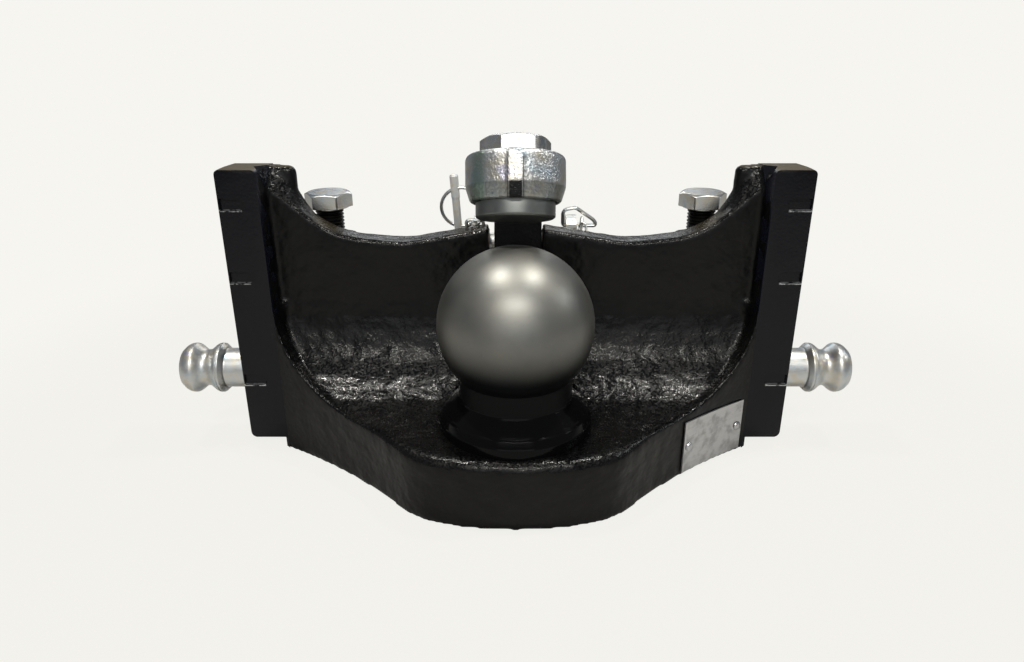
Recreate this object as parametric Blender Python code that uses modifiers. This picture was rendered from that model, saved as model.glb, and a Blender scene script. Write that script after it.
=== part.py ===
# Tractor ball coupling: an 80 mm ball on a cast slider bracket, with a hinged hold-down above it.
# All sizes are metres. The sizes below are measured from the centre of the ball: X to the right,
# Y towards the tractor and Z up. The finished model stands on the underside of the shelf.

import math

import bmesh
import bpy
from mathutils import Matrix, Vector

# Clearances

GAP = 0.0003
PIN_FIT = 0.0003
STEP = 0.002
CUT_REACH = 0.050

# Ball

BALL_RADIUS = 0.040
BALL_NECK_RADIUS = 0.0295
BALL_NECK_BOTTOM = -0.039
BALL_CONE_RADIUS = 0.037
BALL_CONE_BOTTOM = -0.045
BALL_FLANGE_RADIUS = 0.040
BALL_FLANGE_TOP = -0.050
BALL_SHANK_RADIUS = 0.022
BALL_THREAD_LENGTH = 0.017
BALL_NUT_ACROSS_FLATS = 0.060
BALL_NUT_HEIGHT = 0.011
BALL_WASHER_RADIUS = 0.034
BALL_WASHER_THICKNESS = 0.004

# Bracket casting

SLIDE_WIDTH = 0.311
RAIL_WIDTH = 0.0215
RAIL_DEPTH = 0.032
RAIL_FRONT = 0.0344
RAIL_TOP = 0.0715
RAIL_BOTTOM = -0.085
RAIL_EDGE = 0.0014
RAIL_TOP_CORNER = 0.0025
RAIL_TOP_FALL = 0.002
RAIL_FOOT_RADIUS = 0.0035
NOTCH_LENGTH = 0.0136
NOTCH_HEIGHT = 0.0065
NOTCH_DEPTH = 0.0016
NOTCH_RIM = 0.0007
NOTCH_HEIGHTS = (0.0534, 0.0134, -0.0477)
WALL_THICKNESS = 0.0164
WALL_MIDDLE_TOP = 0.0395
WALL_DIP = (0.062, 0.0285)
WALL_SWOOP = (0.1017, 0.0323)
WALL_END_TOP = 0.0612
WALL_DIP_RADIUS = 0.060
WALL_SWOOP_RADIUS = 0.052
WALL_EDGE = 0.0022
RAMP_START = 0.113
RAMP_DEPTH = 0.0095
RAMP_RISE = 0.0165
BLOCK_WIDTH = 0.0135
BLOCK_DEPTH = 0.0085
BLOCK_ROUND = 0.0035
BLOCK_FOOT = 0.045
CAST_INSET = 0.0003
SHELF_FRONT = -0.046
SHELF_FRONT_RADIUS = 0.139
SHELF_CORNER_X = 0.050
SHELF_CORNER_RADIUS = 0.040
SHELF_FLANK_RADIUS = 0.350
SHELF_BOTTOM = -0.092
SHELF_FLOOR = -0.055
LIP_RADIUS = 0.006
LIP_END = 0.092
CAVITY_RADIUS = 0.050
CAVITY_CORNER_RADIUS = 0.008
SEAT_RADIUS = 0.0405
SEAT_DEPTH = 0.0005
SLOT_WIDTH = 0.0304
SLOT_BOTTOM = -0.012
EAR_THICKNESS = 0.0138
EAR_RADIUS = 0.011
EAR_FOOT = -0.050
WEB_TOP = -0.001
LUG_WIDTH = 0.028
LUG_DEPTH = 0.0266
LUG_TOP = 0.026
LUG_BOTTOM = -0.012
LUG_ROUND = 0.008

# Hold-down

HOLD_DOWN_TILT = math.radians(20)
HOLD_DOWN_OPENING = 0.0127
PAD_RADIUS = 0.0202
PAD_HEIGHT = 0.0088
PAD_THREAD_DEPTH = 0.0065
SHIM_THICKNESS = 0.0005
SHIM_RADIUS = 0.019
NOSE_RADIUS = 0.0254
NOSE_HEIGHT = 0.0238
NOSE_RECESS = 0.002
NOSE_LOWER_RADIUS = 0.0238
NOSE_FOOT_RADIUS = 0.0212
NOSE_FOOT_ROUND = 0.003
NOSE_TAPER = 0.0078
NOSE_EDGE = 0.0026
FLASH_WIDTH = 0.0074
FLASH_PROUD = 0.0005
ARM_HEIGHT = 0.020
NECK_WIDTH = 0.0264
NECK_OFFSET = 0.0013
NECK_FRONT = 0.054
NECK_BACK = 0.092
EYE_RADIUS = 0.0148
TAIL_DEPTH = 0.012
TAIL_BOTTOM = -0.010
NECK_EDGE = 0.0015
HOLD_BOLT_RADIUS = 0.010
HOLD_BOLT_ACROSS_FLATS = 0.0315
HOLD_BOLT_HEAD = 0.0125
HOLD_BOLT_SINK = 0.0038

# Pivot pin and what secures it

PIVOT_Y = 0.080
PIVOT_Z = 0.0185
PIVOT_RADIUS = 0.008
PIVOT_LEFT_END = -0.041
BUSH_WALL = 0.002
TAB_THICKNESS = 0.006
TAB_RADIUS = 0.0065
TAB_HEIGHT = 0.0125
LINCH_RADIUS = 0.00225
LINCH_X = -0.0330
LINCH_LEAN = math.radians(3.5)
LINCH_TOP = 0.061
LINCH_BOTTOM = 0.004
LINCH_HEAD_RADIUS = 0.0025
LINCH_HEAD_LENGTH = 0.013
RING_RADIUS = 0.012
RING_WIRE = 0.001
RING_HEIGHT = 0.0528
RING_LEAN = math.radians(18)
RING_SWING = math.radians(9)
BAIL_WIRE = 0.0011
BAIL_WIDTH = 0.0198
BAIL_LEFT = 0.0277
BAIL_HEIGHT = 0.0107
BAIL_SHOULDER = 0.0093
BAIL_PEAK_SHARE = 0.37
BAIL_CORNER = 0.003

# Chains

LINK_WIRE = 0.0008
LINK_INNER_LENGTH = 0.008
LINK_INNER_WIDTH = 0.0032
STAPLE_WIRE = 0.001
STAPLE_LEG = 0.005
LEFT_STAPLE_X = -0.0230
LEFT_STAPLE_Y = 0.0625
RIGHT_STAPLE_Y = 0.0725
RIGHT_CHAIN_X = 0.0385
RIGHT_CHAIN_RISE = math.radians(40)

# Side pins

SIDE_PIN_Y = 0.0504
SIDE_PIN_Z = -0.047
SIDE_PIN_RADIUS = 0.01145
SIDE_PIN_DEPTH = 0.043
SIDE_PIN_SHOULDER = 0.0131
GRIP_LENGTH = 0.0256
GRIP_RADIUS = 0.0145
GRIP_WAIST = 0.0106
GRIP_INNER_CREST = 0.0034
GRIP_OUTER_CREST = 0.0190
GRIP_GROOVE = 0.0006

# Clamp bolts

CLAMP_X = 0.1085
CLAMP_Y = 0.0795
CLAMP_RADIUS = 0.008
CLAMP_ACROSS_FLATS = 0.024
CLAMP_HEAD = 0.0088
CLAMP_STANDOFF = 0.0164
CLAMP_DEPTH = 0.030

# Type plate

PLATE_START = 0.0910
PLATE_END = 0.1300
PLATE_TOP = -0.0585
PLATE_BOTTOM = -0.0896
PLATE_THICKNESS = 0.0008
RIVET_INSET = 0.0032
RIVET_HEAD_RADIUS = 0.0026
RIVET_HEAD_HEIGHT = 0.0012
RIVET_SHANK_RADIUS = 0.0014
RIVET_SHANK_LENGTH = 0.005

# Values that follow from the sizes above

RAIL_OUTER = SLIDE_WIDTH / 2
RAIL_INNER = RAIL_OUTER - RAIL_WIDTH
RAIL_BACK = RAIL_FRONT + RAIL_DEPTH
WALL_FRONT = RAIL_BACK - WALL_THICKNESS
EAR_OUTER = SLOT_WIDTH / 2 + EAR_THICKNESS
EAR_TOP = PIVOT_Z + EAR_RADIUS
EAR_BACK = PIVOT_Y + EAR_RADIUS
SHELF_TOP = SHELF_FLOOR + CAVITY_RADIUS - CAST_INSET
SEAT_Z = SHELF_FLOOR - SEAT_DEPTH
WASHER_TOP = SHELF_BOTTOM + BALL_THREAD_LENGTH + STEP
TAIL_BACK = PIVOT_Y + TAIL_DEPTH / 3
TAIL_FRONT = TAIL_BACK - TAIL_DEPTH
BUSH_RADIUS = PIVOT_RADIUS + PIN_FIT + BUSH_WALL
TAB_START = EAR_OUTER + GAP
TAB_CENTRE_Z = PIVOT_Z + TAB_HEIGHT
PAD_BOTTOM = BALL_RADIUS + HOLD_DOWN_OPENING
SHIM_BOTTOM = PAD_BOTTOM + PAD_HEIGHT + GAP
NOSE_BOTTOM = SHIM_BOTTOM + SHIM_THICKNESS + GAP - NOSE_RECESS
NOSE_TOP = NOSE_BOTTOM + NOSE_HEIGHT
HOLD_DOWN_AXIS = Vector((0, math.sin(HOLD_DOWN_TILT), math.cos(HOLD_DOWN_TILT)))
LINK_HALF_WIDTH = LINK_INNER_WIDTH / 2 + LINK_WIRE
LINK_SPAN = LINK_INNER_LENGTH + 2 * LINK_WIRE
LINK_PULL = 2 * LINK_WIRE + GAP
ROUND_STEPS = 32
SMALL_STEPS = 20
ARC_STEPS = 5


# Collections, materials and small helpers


def clear_scene():
    for found in list(bpy.data.objects):
        bpy.data.objects.remove(found, do_unlink=True)


def new_collection(name):
    collection = bpy.data.collections.new(name)
    bpy.context.scene.collection.children.link(collection)
    return collection


def new_material(name, colour, metallic, roughness):
    material = bpy.data.materials.new(name)
    material.use_nodes = True
    shader = material.node_tree.nodes["Principled BSDF"]
    shader.inputs["Base Color"].default_value = (*colour, 1)
    shader.inputs["Metallic"].default_value = metallic
    shader.inputs["Roughness"].default_value = roughness
    material.diffuse_color = (*colour, 1)
    return material


clear_scene()
PARTS = new_collection("tractor_ball_coupling")
CUTTERS = new_collection("cutters")


def add_object(name, mesh, material=None):
    """A sub-part when it has a material, else a tool for joining and cutting."""
    made = bpy.data.objects.new(name, mesh)
    if material:
        PARTS.objects.link(made)
        mesh.materials.clear()
        mesh.materials.append(material)
    else:
        CUTTERS.objects.link(made)
        made.hide_render = True
        made.display_type = "WIRE"
    return made


def bake(thing):
    """The object's evaluated mesh, welded, with its faces pointing out; the object itself goes."""
    bpy.context.view_layer.update()
    evaluated = thing.evaluated_get(bpy.context.evaluated_depsgraph_get())
    mesh = bpy.data.meshes.new_from_object(evaluated)
    mesh.transform(thing.matrix_world)
    bpy.data.objects.remove(thing, do_unlink=True)
    solid = bmesh.new()
    solid.from_mesh(mesh)
    bmesh.ops.remove_doubles(solid, verts=solid.verts, dist=0.00002)
    bmesh.ops.recalc_face_normals(solid, faces=solid.faces)
    solid.to_mesh(mesh)
    solid.free()
    return mesh


def smooth(mesh, angle=35):
    mesh.shade_smooth()
    mesh.set_sharp_from_angle(angle=math.radians(angle))


def combine(target, tool, operation):
    step = target.modifiers.new(f"{operation.lower()} {tool.name}", "BOOLEAN")
    step.operation = operation
    step.object = tool
    step.solver = "EXACT"
    return target


def cut(target, tool):
    return combine(target, tool, "DIFFERENCE")


def join(target, tool):
    return combine(target, tool, "UNION")


def round_edges(target, width, segments=2, limit=40):
    step = target.modifiers.new("rounded edges", "BEVEL")
    step.width = width
    step.segments = segments
    step.limit_method = "ANGLE"
    step.angle_limit = math.radians(limit)
    return target


def finish(name, thing, material, origin=(0, 0, 0), angle=35):
    """Turns a modelled solid into a named sub-part whose origin is at the given point."""
    mesh = bake(thing)
    mesh.name = name
    mesh.transform(Matrix.Translation(-Vector(origin)))
    smooth(mesh, angle)
    made = add_object(name, mesh, material)
    made.location = origin
    return made


# Outlines and solids


def arc(centre, radius, start, end, steps=ARC_STEPS):
    """Points on a circle from one angle to another, in degrees."""
    points = []
    for index in range(steps + 1):
        angle = math.radians(start + (end - start) * index / steps)
        points.append((centre[0] + radius * math.cos(angle), centre[1] + radius * math.sin(angle)))
    return points


def rounded_outline(corners, steps=ARC_STEPS):
    """A closed outline from corners (u, v, radius), each turned into an arc where it has a radius."""
    points = []
    for index, (u, v, radius) in enumerate(corners):
        corner = Vector((u, v))
        before = Vector(corners[index - 1][:2]) - corner
        after = Vector(corners[(index + 1) % len(corners)][:2]) - corner
        if radius <= 0:
            points.append(tuple(corner))
            continue
        half = before.angle(after) / 2
        reach = min(radius / math.tan(half), 0.49 * before.length, 0.49 * after.length)
        radius = reach * math.tan(half)
        centre = corner + (before.normalized() + after.normalized()).normalized() * radius / math.sin(half)
        first = corner + before.normalized() * reach - centre
        last = corner + after.normalized() * reach - centre
        turn = first.angle_signed(last)
        for share in range(steps + 1):
            spoke = first.copy()
            spoke.rotate(Matrix.Rotation(-turn * share / steps, 2))
            points.append(tuple(centre + spoke))
    return points


def outline_solid(name, outline, axis, low, high):
    """A flat outline extruded along X, Y or Z between two heights."""
    curve = bpy.data.curves.new(name, "CURVE")
    curve.dimensions = "2D"
    curve.fill_mode = "BOTH"
    curve.extrude = (high - low) / 2
    spline = curve.splines.new("POLY")
    spline.points.add(len(outline) - 1)
    for point, (u, v) in zip(spline.points, outline):
        point.co = (u, v, 0, 1)
    spline.use_cyclic_u = True
    flat = bpy.data.objects.new(name, curve)
    CUTTERS.objects.link(flat)
    mesh = bake(flat)
    middle = (low + high) / 2
    turn = {
        "X": Matrix(((0, 0, 1, middle), (1, 0, 0, 0), (0, 1, 0, 0), (0, 0, 0, 1))),
        "Y": Matrix(((1, 0, 0, 0), (0, 0, -1, middle), (0, 1, 0, 0), (0, 0, 0, 1))),
        "Z": Matrix.Translation((0, 0, middle)),
    }
    mesh.transform(turn[axis])
    return add_object(name, mesh)


def box(name, x_range, y_range, z_range):
    solid = bmesh.new()
    bmesh.ops.create_cube(solid, size=1)
    sizes = [high - low for low, high in (x_range, y_range, z_range)]
    middle = [(high + low) / 2 for low, high in (x_range, y_range, z_range)]
    bmesh.ops.scale(solid, vec=sizes, verts=solid.verts)
    bmesh.ops.translate(solid, vec=middle, verts=solid.verts)
    mesh = bpy.data.meshes.new(name)
    solid.to_mesh(mesh)
    solid.free()
    return add_object(name, mesh)


def along(direction, start=(0, 0, 0)):
    """The matrix that stands a solid modelled along +Z on a start point, along a direction."""
    turn = Vector((0, 0, 1)).rotation_difference(Vector(direction)).to_matrix().to_4x4()
    return Matrix.Translation(start) @ turn


def turned(name, profile, place=None, closed=False, steps=ROUND_STEPS):
    """A solid turned round +Z from a profile of (radius, height), then put in its place."""
    mesh = bpy.data.meshes.new(name)
    points = [(radius, 0, height) for radius, height in profile]
    edges = [(index, index + 1) for index in range(len(points) - 1)]
    if closed:
        edges.append((len(points) - 1, 0))
    mesh.from_pydata(points, edges, [])
    shape = bpy.data.objects.new(name, mesh)
    CUTTERS.objects.link(shape)
    screw = shape.modifiers.new("turned", "SCREW")
    screw.axis = "Z"
    screw.steps = steps
    screw.render_steps = steps
    screw.use_merge_vertices = True
    screw.merge_threshold = 0.00001
    solid = bake(shape)
    solid.transform(place or Matrix())
    return add_object(name, solid)


def cylinder(name, radius, start, direction, length, steps=ROUND_STEPS):
    profile = [(0, length), (radius, length), (radius, 0), (0, 0)]
    return turned(name, profile, along(direction, start), steps=steps)


def wire(name, points, radius, closed=False, resolution=2):
    """A round wire along a list of points, with capped ends or closed into a loop."""
    curve = bpy.data.curves.new(name, "CURVE")
    curve.dimensions = "3D"
    curve.bevel_depth = radius
    curve.bevel_resolution = resolution
    curve.use_fill_caps = True
    spline = curve.splines.new("POLY")
    spline.points.add(len(points) - 1)
    for point, place in zip(spline.points, points):
        point.co = (*place, 1)
    spline.use_cyclic_u = closed
    route = bpy.data.objects.new(name, curve)
    CUTTERS.objects.link(route)
    return add_object(name, bake(route))


def prism(name, across_flats, height, place):
    """A hexagonal prism with a flat towards the viewer."""
    corner = across_flats / math.sqrt(3)
    solid = bmesh.new()
    bmesh.ops.create_cone(
        solid, cap_ends=True, segments=6, radius1=corner, radius2=corner, depth=height,
        matrix=Matrix.Translation((0, 0, height / 2)) @ Matrix.Rotation(math.radians(30), 4, "Z"),
    )
    mesh = bpy.data.meshes.new(name)
    solid.to_mesh(mesh)
    solid.free()
    mesh.transform(place)
    return add_object(name, mesh)


def hexagon(name, across_flats, height, place):
    """A bolt head or nut: a prism with its top corners chamfered."""
    corner = across_flats / math.sqrt(3)
    flat = across_flats / 2
    drop = (corner - flat) * math.tan(math.radians(30))
    profile = [
        (0, height), (flat * 0.95, height), (corner + STEP, height - drop - STEP * 0.7),
        (corner + STEP, -STEP), (0, -STEP),
    ]
    head = prism(name, across_flats, height, place)
    return combine(head, turned(f"{name} chamfer", profile, place), "INTERSECT")


# Bracket casting


def shelf_flank(x):
    """The Y of the shelf's hollow side at a given X."""
    start = Vector((SHELF_CORNER_X, shelf_corner_y()))
    end = Vector((RAIL_INNER, RAIL_FRONT))
    centre = flank_centre(start, end)
    return centre.y + math.sqrt(SHELF_FLANK_RADIUS**2 - (x - centre.x) ** 2)


def flank_centre(start, end):
    """The centre of the flank's arc lies in front of the shelf, because the flank is hollow."""
    chord = end - start
    middle = (start + end) / 2
    away = Vector((chord.y, -chord.x)).normalized()
    return middle + away * math.sqrt(SHELF_FLANK_RADIUS**2 - (chord.length / 2) ** 2)


def shelf_corner_y():
    centre = SHELF_FRONT + SHELF_FRONT_RADIUS
    return centre - math.sqrt(SHELF_FRONT_RADIUS**2 - SHELF_CORNER_X**2)


def shelf_outline():
    """The right half of the shelf seen from above, carried a little past the middle."""
    centre_y = SHELF_FRONT + SHELF_FRONT_RADIUS
    corners = [(-STEP, SHELF_FRONT, 0)]
    for share in (0.28, 0.56):
        x = SHELF_CORNER_X * share
        corners.append((x, centre_y - math.sqrt(SHELF_FRONT_RADIUS**2 - x**2), 0))
    corners.append((SHELF_CORNER_X, shelf_corner_y(), SHELF_CORNER_RADIUS))
    for share in (0.3, 0.48, 0.65, 0.82, 1.0):
        x = SHELF_CORNER_X + (RAIL_INNER - SHELF_CORNER_X) * share
        corners.append((x, shelf_flank(x), 0))
    corners.append((RAIL_INNER + STEP, RAIL_FRONT + STEP, 0))
    corners.append((RAIL_INNER + STEP, RAIL_BACK - CAST_INSET, 0))
    corners.append((-STEP, RAIL_BACK - CAST_INSET, 0))
    return rounded_outline(corners)


def cavity_cutter():
    """The hollow in front of the wall: three extruded outlines cut down to what they share."""
    high = RAIL_TOP + CUT_REACH
    front = SHELF_FRONT - CUT_REACH
    width = RAIL_INNER
    across = rounded_outline(
        [(-width, high, 0), (-width, SHELF_FLOOR, CAVITY_RADIUS), (width, SHELF_FLOOR, CAVITY_RADIUS), (width, high, 0)],
        steps=9,
    )
    deep = rounded_outline(
        [(front, high, 0), (front, SHELF_FLOOR, 0), (WALL_FRONT, SHELF_FLOOR, CAVITY_RADIUS), (WALL_FRONT, high, 0)],
        steps=9,
    )
    plan = rounded_outline(
        [(-width, front, 0), (width, front, 0), (width, WALL_FRONT, CAVITY_CORNER_RADIUS),
         (-width, WALL_FRONT, CAVITY_CORNER_RADIUS)],
        steps=3,
    )
    hollow = outline_solid("cavity across", across, "Y", front - STEP, WALL_FRONT + STEP)
    combine(hollow, outline_solid("cavity deep", deep, "X", -width - STEP, width + STEP), "INTERSECT")
    combine(hollow, outline_solid("cavity plan", plan, "Z", SHELF_FLOOR - STEP, high + STEP), "INTERSECT")
    return add_object("cavity", bake(hollow))


def wall_solid():
    past_middle = -WALL_EDGE - STEP
    corners = [
        (past_middle, SHELF_FLOOR, 0),
        (RAIL_INNER + STEP, SHELF_FLOOR, 0),
        (RAIL_INNER + STEP, WALL_END_TOP + STEP * 0.7, 0),
        (*WALL_SWOOP, WALL_SWOOP_RADIUS),
        (*WALL_DIP, WALL_DIP_RADIUS),
        (past_middle, WALL_MIDDLE_TOP, 0),
    ]
    wall = outline_solid("wall", rounded_outline(corners, steps=8), "Y", WALL_FRONT, RAIL_BACK)
    return round_edges(wall, WALL_EDGE, segments=3, limit=60)


def wall_slope_at(x):
    """The height of the wall's front crest where it climbs to the rail."""
    slope = (WALL_END_TOP - WALL_SWOOP[1]) / (RAIL_INNER - WALL_SWOOP[0])
    return WALL_END_TOP - slope * (RAIL_INNER - x)


def ramp_solid():
    """The slanting face that lifts the wall's crest to the top of the rail, built from slices across it."""
    slices = []
    end = RAIL_INNER + STEP * 2
    count = 7
    front = WALL_FRONT + CAST_INSET
    back = RAIL_BACK - CAST_INSET
    low = WALL_SWOOP[1]
    for index in range(count):
        x = RAMP_START + (end - RAMP_START) * index / (count - 1)
        share = min(1.0, (x - RAMP_START) / (RAIL_INNER - RAMP_START))
        rise = RAMP_RISE * share * share * (3 - 2 * share)
        foot = wall_slope_at(min(x, RAIL_INNER)) - WALL_EDGE
        crest = min(foot + WALL_EDGE + rise, RAIL_TOP - RAIL_TOP_FALL - CAST_INSET)
        slices.append([(x, y, z) for y, z in (
            (front, low), (front, foot), (front + RAMP_DEPTH, crest), (back, crest), (back, low),
        )])
    solid = bmesh.new()
    rings = [[solid.verts.new(point) for point in ring] for ring in slices]
    for first, second in zip(rings, rings[1:]):
        for index in range(len(first)):
            after = (index + 1) % len(first)
            solid.faces.new((first[index], second[index], second[after], first[after]))
    solid.faces.new(rings[0])
    solid.faces.new(list(reversed(rings[-1])))
    bmesh.ops.recalc_face_normals(solid, faces=solid.faces)
    mesh = bpy.data.meshes.new("ramp")
    solid.to_mesh(mesh)
    solid.free()
    return add_object("ramp", mesh)


def rail_valley_cutter():
    """Cuts the rail's inner top edge so that the ramp runs out on it."""
    high = RAIL_TOP + STEP / 2
    inner = RAIL_INNER - STEP / 2
    corners = [
        (inner, RAIL_FRONT - RAIL_EDGE, high), (inner, WALL_FRONT + RAMP_DEPTH + STEP, high),
        (RAIL_INNER + RAMP_DEPTH * 0.7, WALL_FRONT, high), (inner, WALL_FRONT, WALL_END_TOP - STEP / 2),
    ]
    solid = bmesh.new()
    for corner in corners:
        solid.verts.new(corner)
    bmesh.ops.convex_hull(solid, input=solid.verts)
    mesh = bpy.data.meshes.new("rail valley")
    solid.to_mesh(mesh)
    solid.free()
    return add_object("rail valley", mesh)


def rail_solid():
    corners = [
        (RAIL_INNER, RAIL_BOTTOM, 0),
        (RAIL_OUTER, RAIL_BOTTOM, RAIL_FOOT_RADIUS),
        (RAIL_OUTER, RAIL_TOP, RAIL_TOP_CORNER),
        (RAIL_INNER, RAIL_TOP, RAIL_TOP_CORNER),
    ]
    rail = outline_solid("rail", rounded_outline(corners, steps=4), "Y", RAIL_FRONT, RAIL_BACK)
    start = RAIL_FRONT + STEP * 2
    above = [
        (start, RAIL_TOP), (RAIL_BACK + STEP, RAIL_TOP - RAIL_TOP_FALL),
        (RAIL_BACK + STEP, RAIL_TOP + STEP), (start, RAIL_TOP + STEP),
    ]
    cut(rail, outline_solid("rail top fall", above, "X", RAIL_INNER - STEP, RAIL_OUTER + STEP))
    round_edges(rail, RAIL_EDGE, segments=2, limit=60)
    cut(rail, rail_valley_cutter())
    for notch in notch_cutters():
        cut(rail, notch)
    return rail


def rear_block_solid():
    block = box(
        "rear block",
        (RAIL_INNER - BLOCK_WIDTH, RAIL_INNER + BLOCK_ROUND * 1.5),
        (RAIL_BACK - BLOCK_DEPTH, RAIL_BACK - CAST_INSET),
        (BLOCK_FOOT, RAIL_TOP - RAIL_TOP_FALL),
    )
    return round_edges(block, BLOCK_ROUND, segments=3)


def ear_solid():
    corners = [
        (RAIL_BACK - STEP, EAR_TOP, 0),
        (RAIL_BACK - STEP, EAR_FOOT, 0),
        (RAIL_BACK + STEP, EAR_FOOT, STEP),
        (EAR_BACK, SLOT_BOTTOM - EAR_RADIUS / 2, EAR_RADIUS),
        (EAR_BACK, EAR_TOP, EAR_RADIUS),
    ]
    return outline_solid("ear", rounded_outline(corners), "X", -STEP, EAR_OUTER)


def slot_cutter():
    corners = [
        (WALL_FRONT - STEP, SLOT_BOTTOM, 0),
        (TAIL_BACK + GAP, SLOT_BOTTOM, 0),
        (TAIL_BACK + GAP, WEB_TOP, 0),
        (EAR_BACK + STEP, WEB_TOP, 0),
        (EAR_BACK + STEP, RAIL_TOP, 0),
        (WALL_FRONT - STEP, RAIL_TOP, 0),
    ]
    points = rounded_outline(corners)
    return outline_solid("lever slot", points, "X", -SLOT_WIDTH / 2, SLOT_WIDTH / 2)


def lug_solid():
    low = CLAMP_X - LUG_WIDTH / 2
    high = CLAMP_X + LUG_WIDTH / 2
    back = RAIL_BACK + LUG_DEPTH
    front = RAIL_BACK - WALL_THICKNESS / 2
    plan = rounded_outline([(low, front, 0), (high, front, 0), (high, back, LUG_ROUND), (low, back, LUG_ROUND)])
    lug = outline_solid("lug", plan, "Z", LUG_BOTTOM, LUG_TOP)
    return round_edges(lug, RAIL_EDGE * 1.5, segments=2, limit=60)


def notch_cutters():
    """The shallow milled notches in the front face of the rail, with a thin rim left at its outer edge."""
    notches = []
    half = NOTCH_HEIGHT / 2
    inner = RAIL_OUTER - NOTCH_LENGTH + half
    for index, height in enumerate(NOTCH_HEIGHTS):
        outline = [(RAIL_OUTER - NOTCH_RIM, height - half), (RAIL_OUTER - NOTCH_RIM, height + half)]
        outline += arc((inner, height), half, 90, 270, steps=6)
        name = f"notch {index + 1}"
        notches.append(outline_solid(name, outline, "Y", RAIL_FRONT - STEP, RAIL_FRONT + NOTCH_DEPTH))
    return notches


def round_the_lip(mesh):
    """Rounds the shelf's front crest, less and less towards the sides."""
    solid = bmesh.new()
    solid.from_mesh(mesh)
    bmesh.ops.dissolve_limit(
        solid, angle_limit=math.radians(1), verts=solid.verts, edges=solid.edges, delimit=set()
    )
    weights = solid.edges.layers.float.new("bevel_weight_edge")
    for edge in solid.edges:
        faces = edge.link_faces
        if len(faces) != 2:
            continue
        outer, inner = sorted(faces, key=lambda face: face.normal.z)
        x, y, z = (edge.verts[0].co + edge.verts[1].co) / 2
        ahead = y < RAIL_FRONT - STEP and z > SHELF_FLOOR - STEP
        if ahead and abs(outer.normal.z) < 0.1 and inner.normal.z > 0.3 and outer.normal.y < 0:
            edge[weights] = max(0.0, min(1.0, (LIP_END - abs(x)) / (LIP_END - SHELF_CORNER_X)))
    solid.to_mesh(mesh)
    solid.free()
    return mesh


def make_bracket(material):
    body = outline_solid("shelf", shelf_outline(), "Z", SHELF_BOTTOM, SHELF_TOP)
    cut(body, cavity_cutter())
    mirror = body.modifiers.new("both sides", "MIRROR")
    mirror.use_axis = (True, False, False)
    mirror.use_bisect_axis = (True, False, False)
    mirror.merge_threshold = 0.00002
    body = add_object("shelf with lip", round_the_lip(bake(body)))
    lip = body.modifiers.new("rounded lip", "BEVEL")
    lip.width = LIP_RADIUS
    lip.segments = 3
    lip.limit_method = "WEIGHT"
    lip.use_clamp_overlap = False
    half = add_object("upper half", bake(wall_solid()))
    for piece in (rail_solid(), ramp_solid(), rear_block_solid(), lug_solid(), ear_solid()):
        join(half, piece)
    lug_bore_start = (CLAMP_X, CLAMP_Y, LUG_TOP + STEP)
    bore_depth = CLAMP_DEPTH + STEP + GAP
    clamp_bore = cylinder("clamp bore", CLAMP_RADIUS + PIN_FIT, lug_bore_start, (0, 0, -1), bore_depth)
    cut(half, clamp_bore)
    mirror = half.modifiers.new("both sides", "MIRROR")
    mirror.use_axis = (True, False, False)
    mirror.use_bisect_axis = (True, False, False)
    mirror.merge_threshold = 0.00002
    body = add_object("casting", bake(body))
    join(body, add_object("upper part", bake(half)))
    cut(body, slot_cutter())
    seat = [(0, CUT_REACH), (SEAT_RADIUS, CUT_REACH), (SEAT_RADIUS, SEAT_Z), (0, SEAT_Z)]
    cut(body, turned("ball seat", seat, steps=48))
    cut(body, ball_bore_cutter())
    bore_start = (-EAR_OUTER - STEP, PIVOT_Y, PIVOT_Z)
    bore_length = 2 * (EAR_OUTER + STEP)
    cut(body, cylinder("pivot bore", PIVOT_RADIUS + PIN_FIT, bore_start, (1, 0, 0), bore_length))
    for side in (-1, 1):
        start = (side * (RAIL_OUTER + STEP), SIDE_PIN_Y, SIDE_PIN_Z)
        length = SIDE_PIN_DEPTH + STEP + GAP
        name = "left pin bore" if side < 0 else "right pin bore"
        cut(body, cylinder(name, SIDE_PIN_RADIUS + PIN_FIT, start, (-side, 0, 0), length))
    for hole in staple_holes() + rivet_holes():
        cut(body, hole)
    return finish("bracket_casting", body, material, angle=30)


def ball_bore_cutter():
    """The hole for the ball's shank, with the counterbore for its nut, as one turned tool."""
    bore = BALL_SHANK_RADIUS + PIN_FIT
    recess = BALL_WASHER_RADIUS + STEP
    profile = [
        (0, 0), (bore, 0), (bore, WASHER_TOP + GAP), (recess, WASHER_TOP + GAP),
        (recess, SHELF_BOTTOM - STEP), (0, SHELF_BOTTOM - STEP),
    ]
    return turned("ball bore", profile)


# Ball with its washer and nut


def make_ball(material):
    meet = math.degrees(math.asin(BALL_NECK_RADIUS / BALL_RADIUS))
    profile = [(0.0, BALL_RADIUS)]
    profile += arc((0, 0), BALL_RADIUS, 84, -90 + meet, steps=19)
    profile += [
        (BALL_NECK_RADIUS, BALL_NECK_BOTTOM),
        (BALL_CONE_RADIUS, BALL_CONE_BOTTOM),
        (BALL_CONE_RADIUS + (BALL_FLANGE_RADIUS - BALL_CONE_RADIUS) / 2, BALL_CONE_BOTTOM - STEP / 2),
        (BALL_FLANGE_RADIUS, BALL_FLANGE_TOP),
        (BALL_FLANGE_RADIUS, SEAT_Z + GAP),
        (BALL_SHANK_RADIUS, SEAT_Z + GAP),
        (BALL_SHANK_RADIUS, SHELF_BOTTOM + STEP),
        (0.0, SHELF_BOTTOM + STEP),
    ]
    return finish("coupling_ball", turned("ball", profile, steps=44), material)


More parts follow.
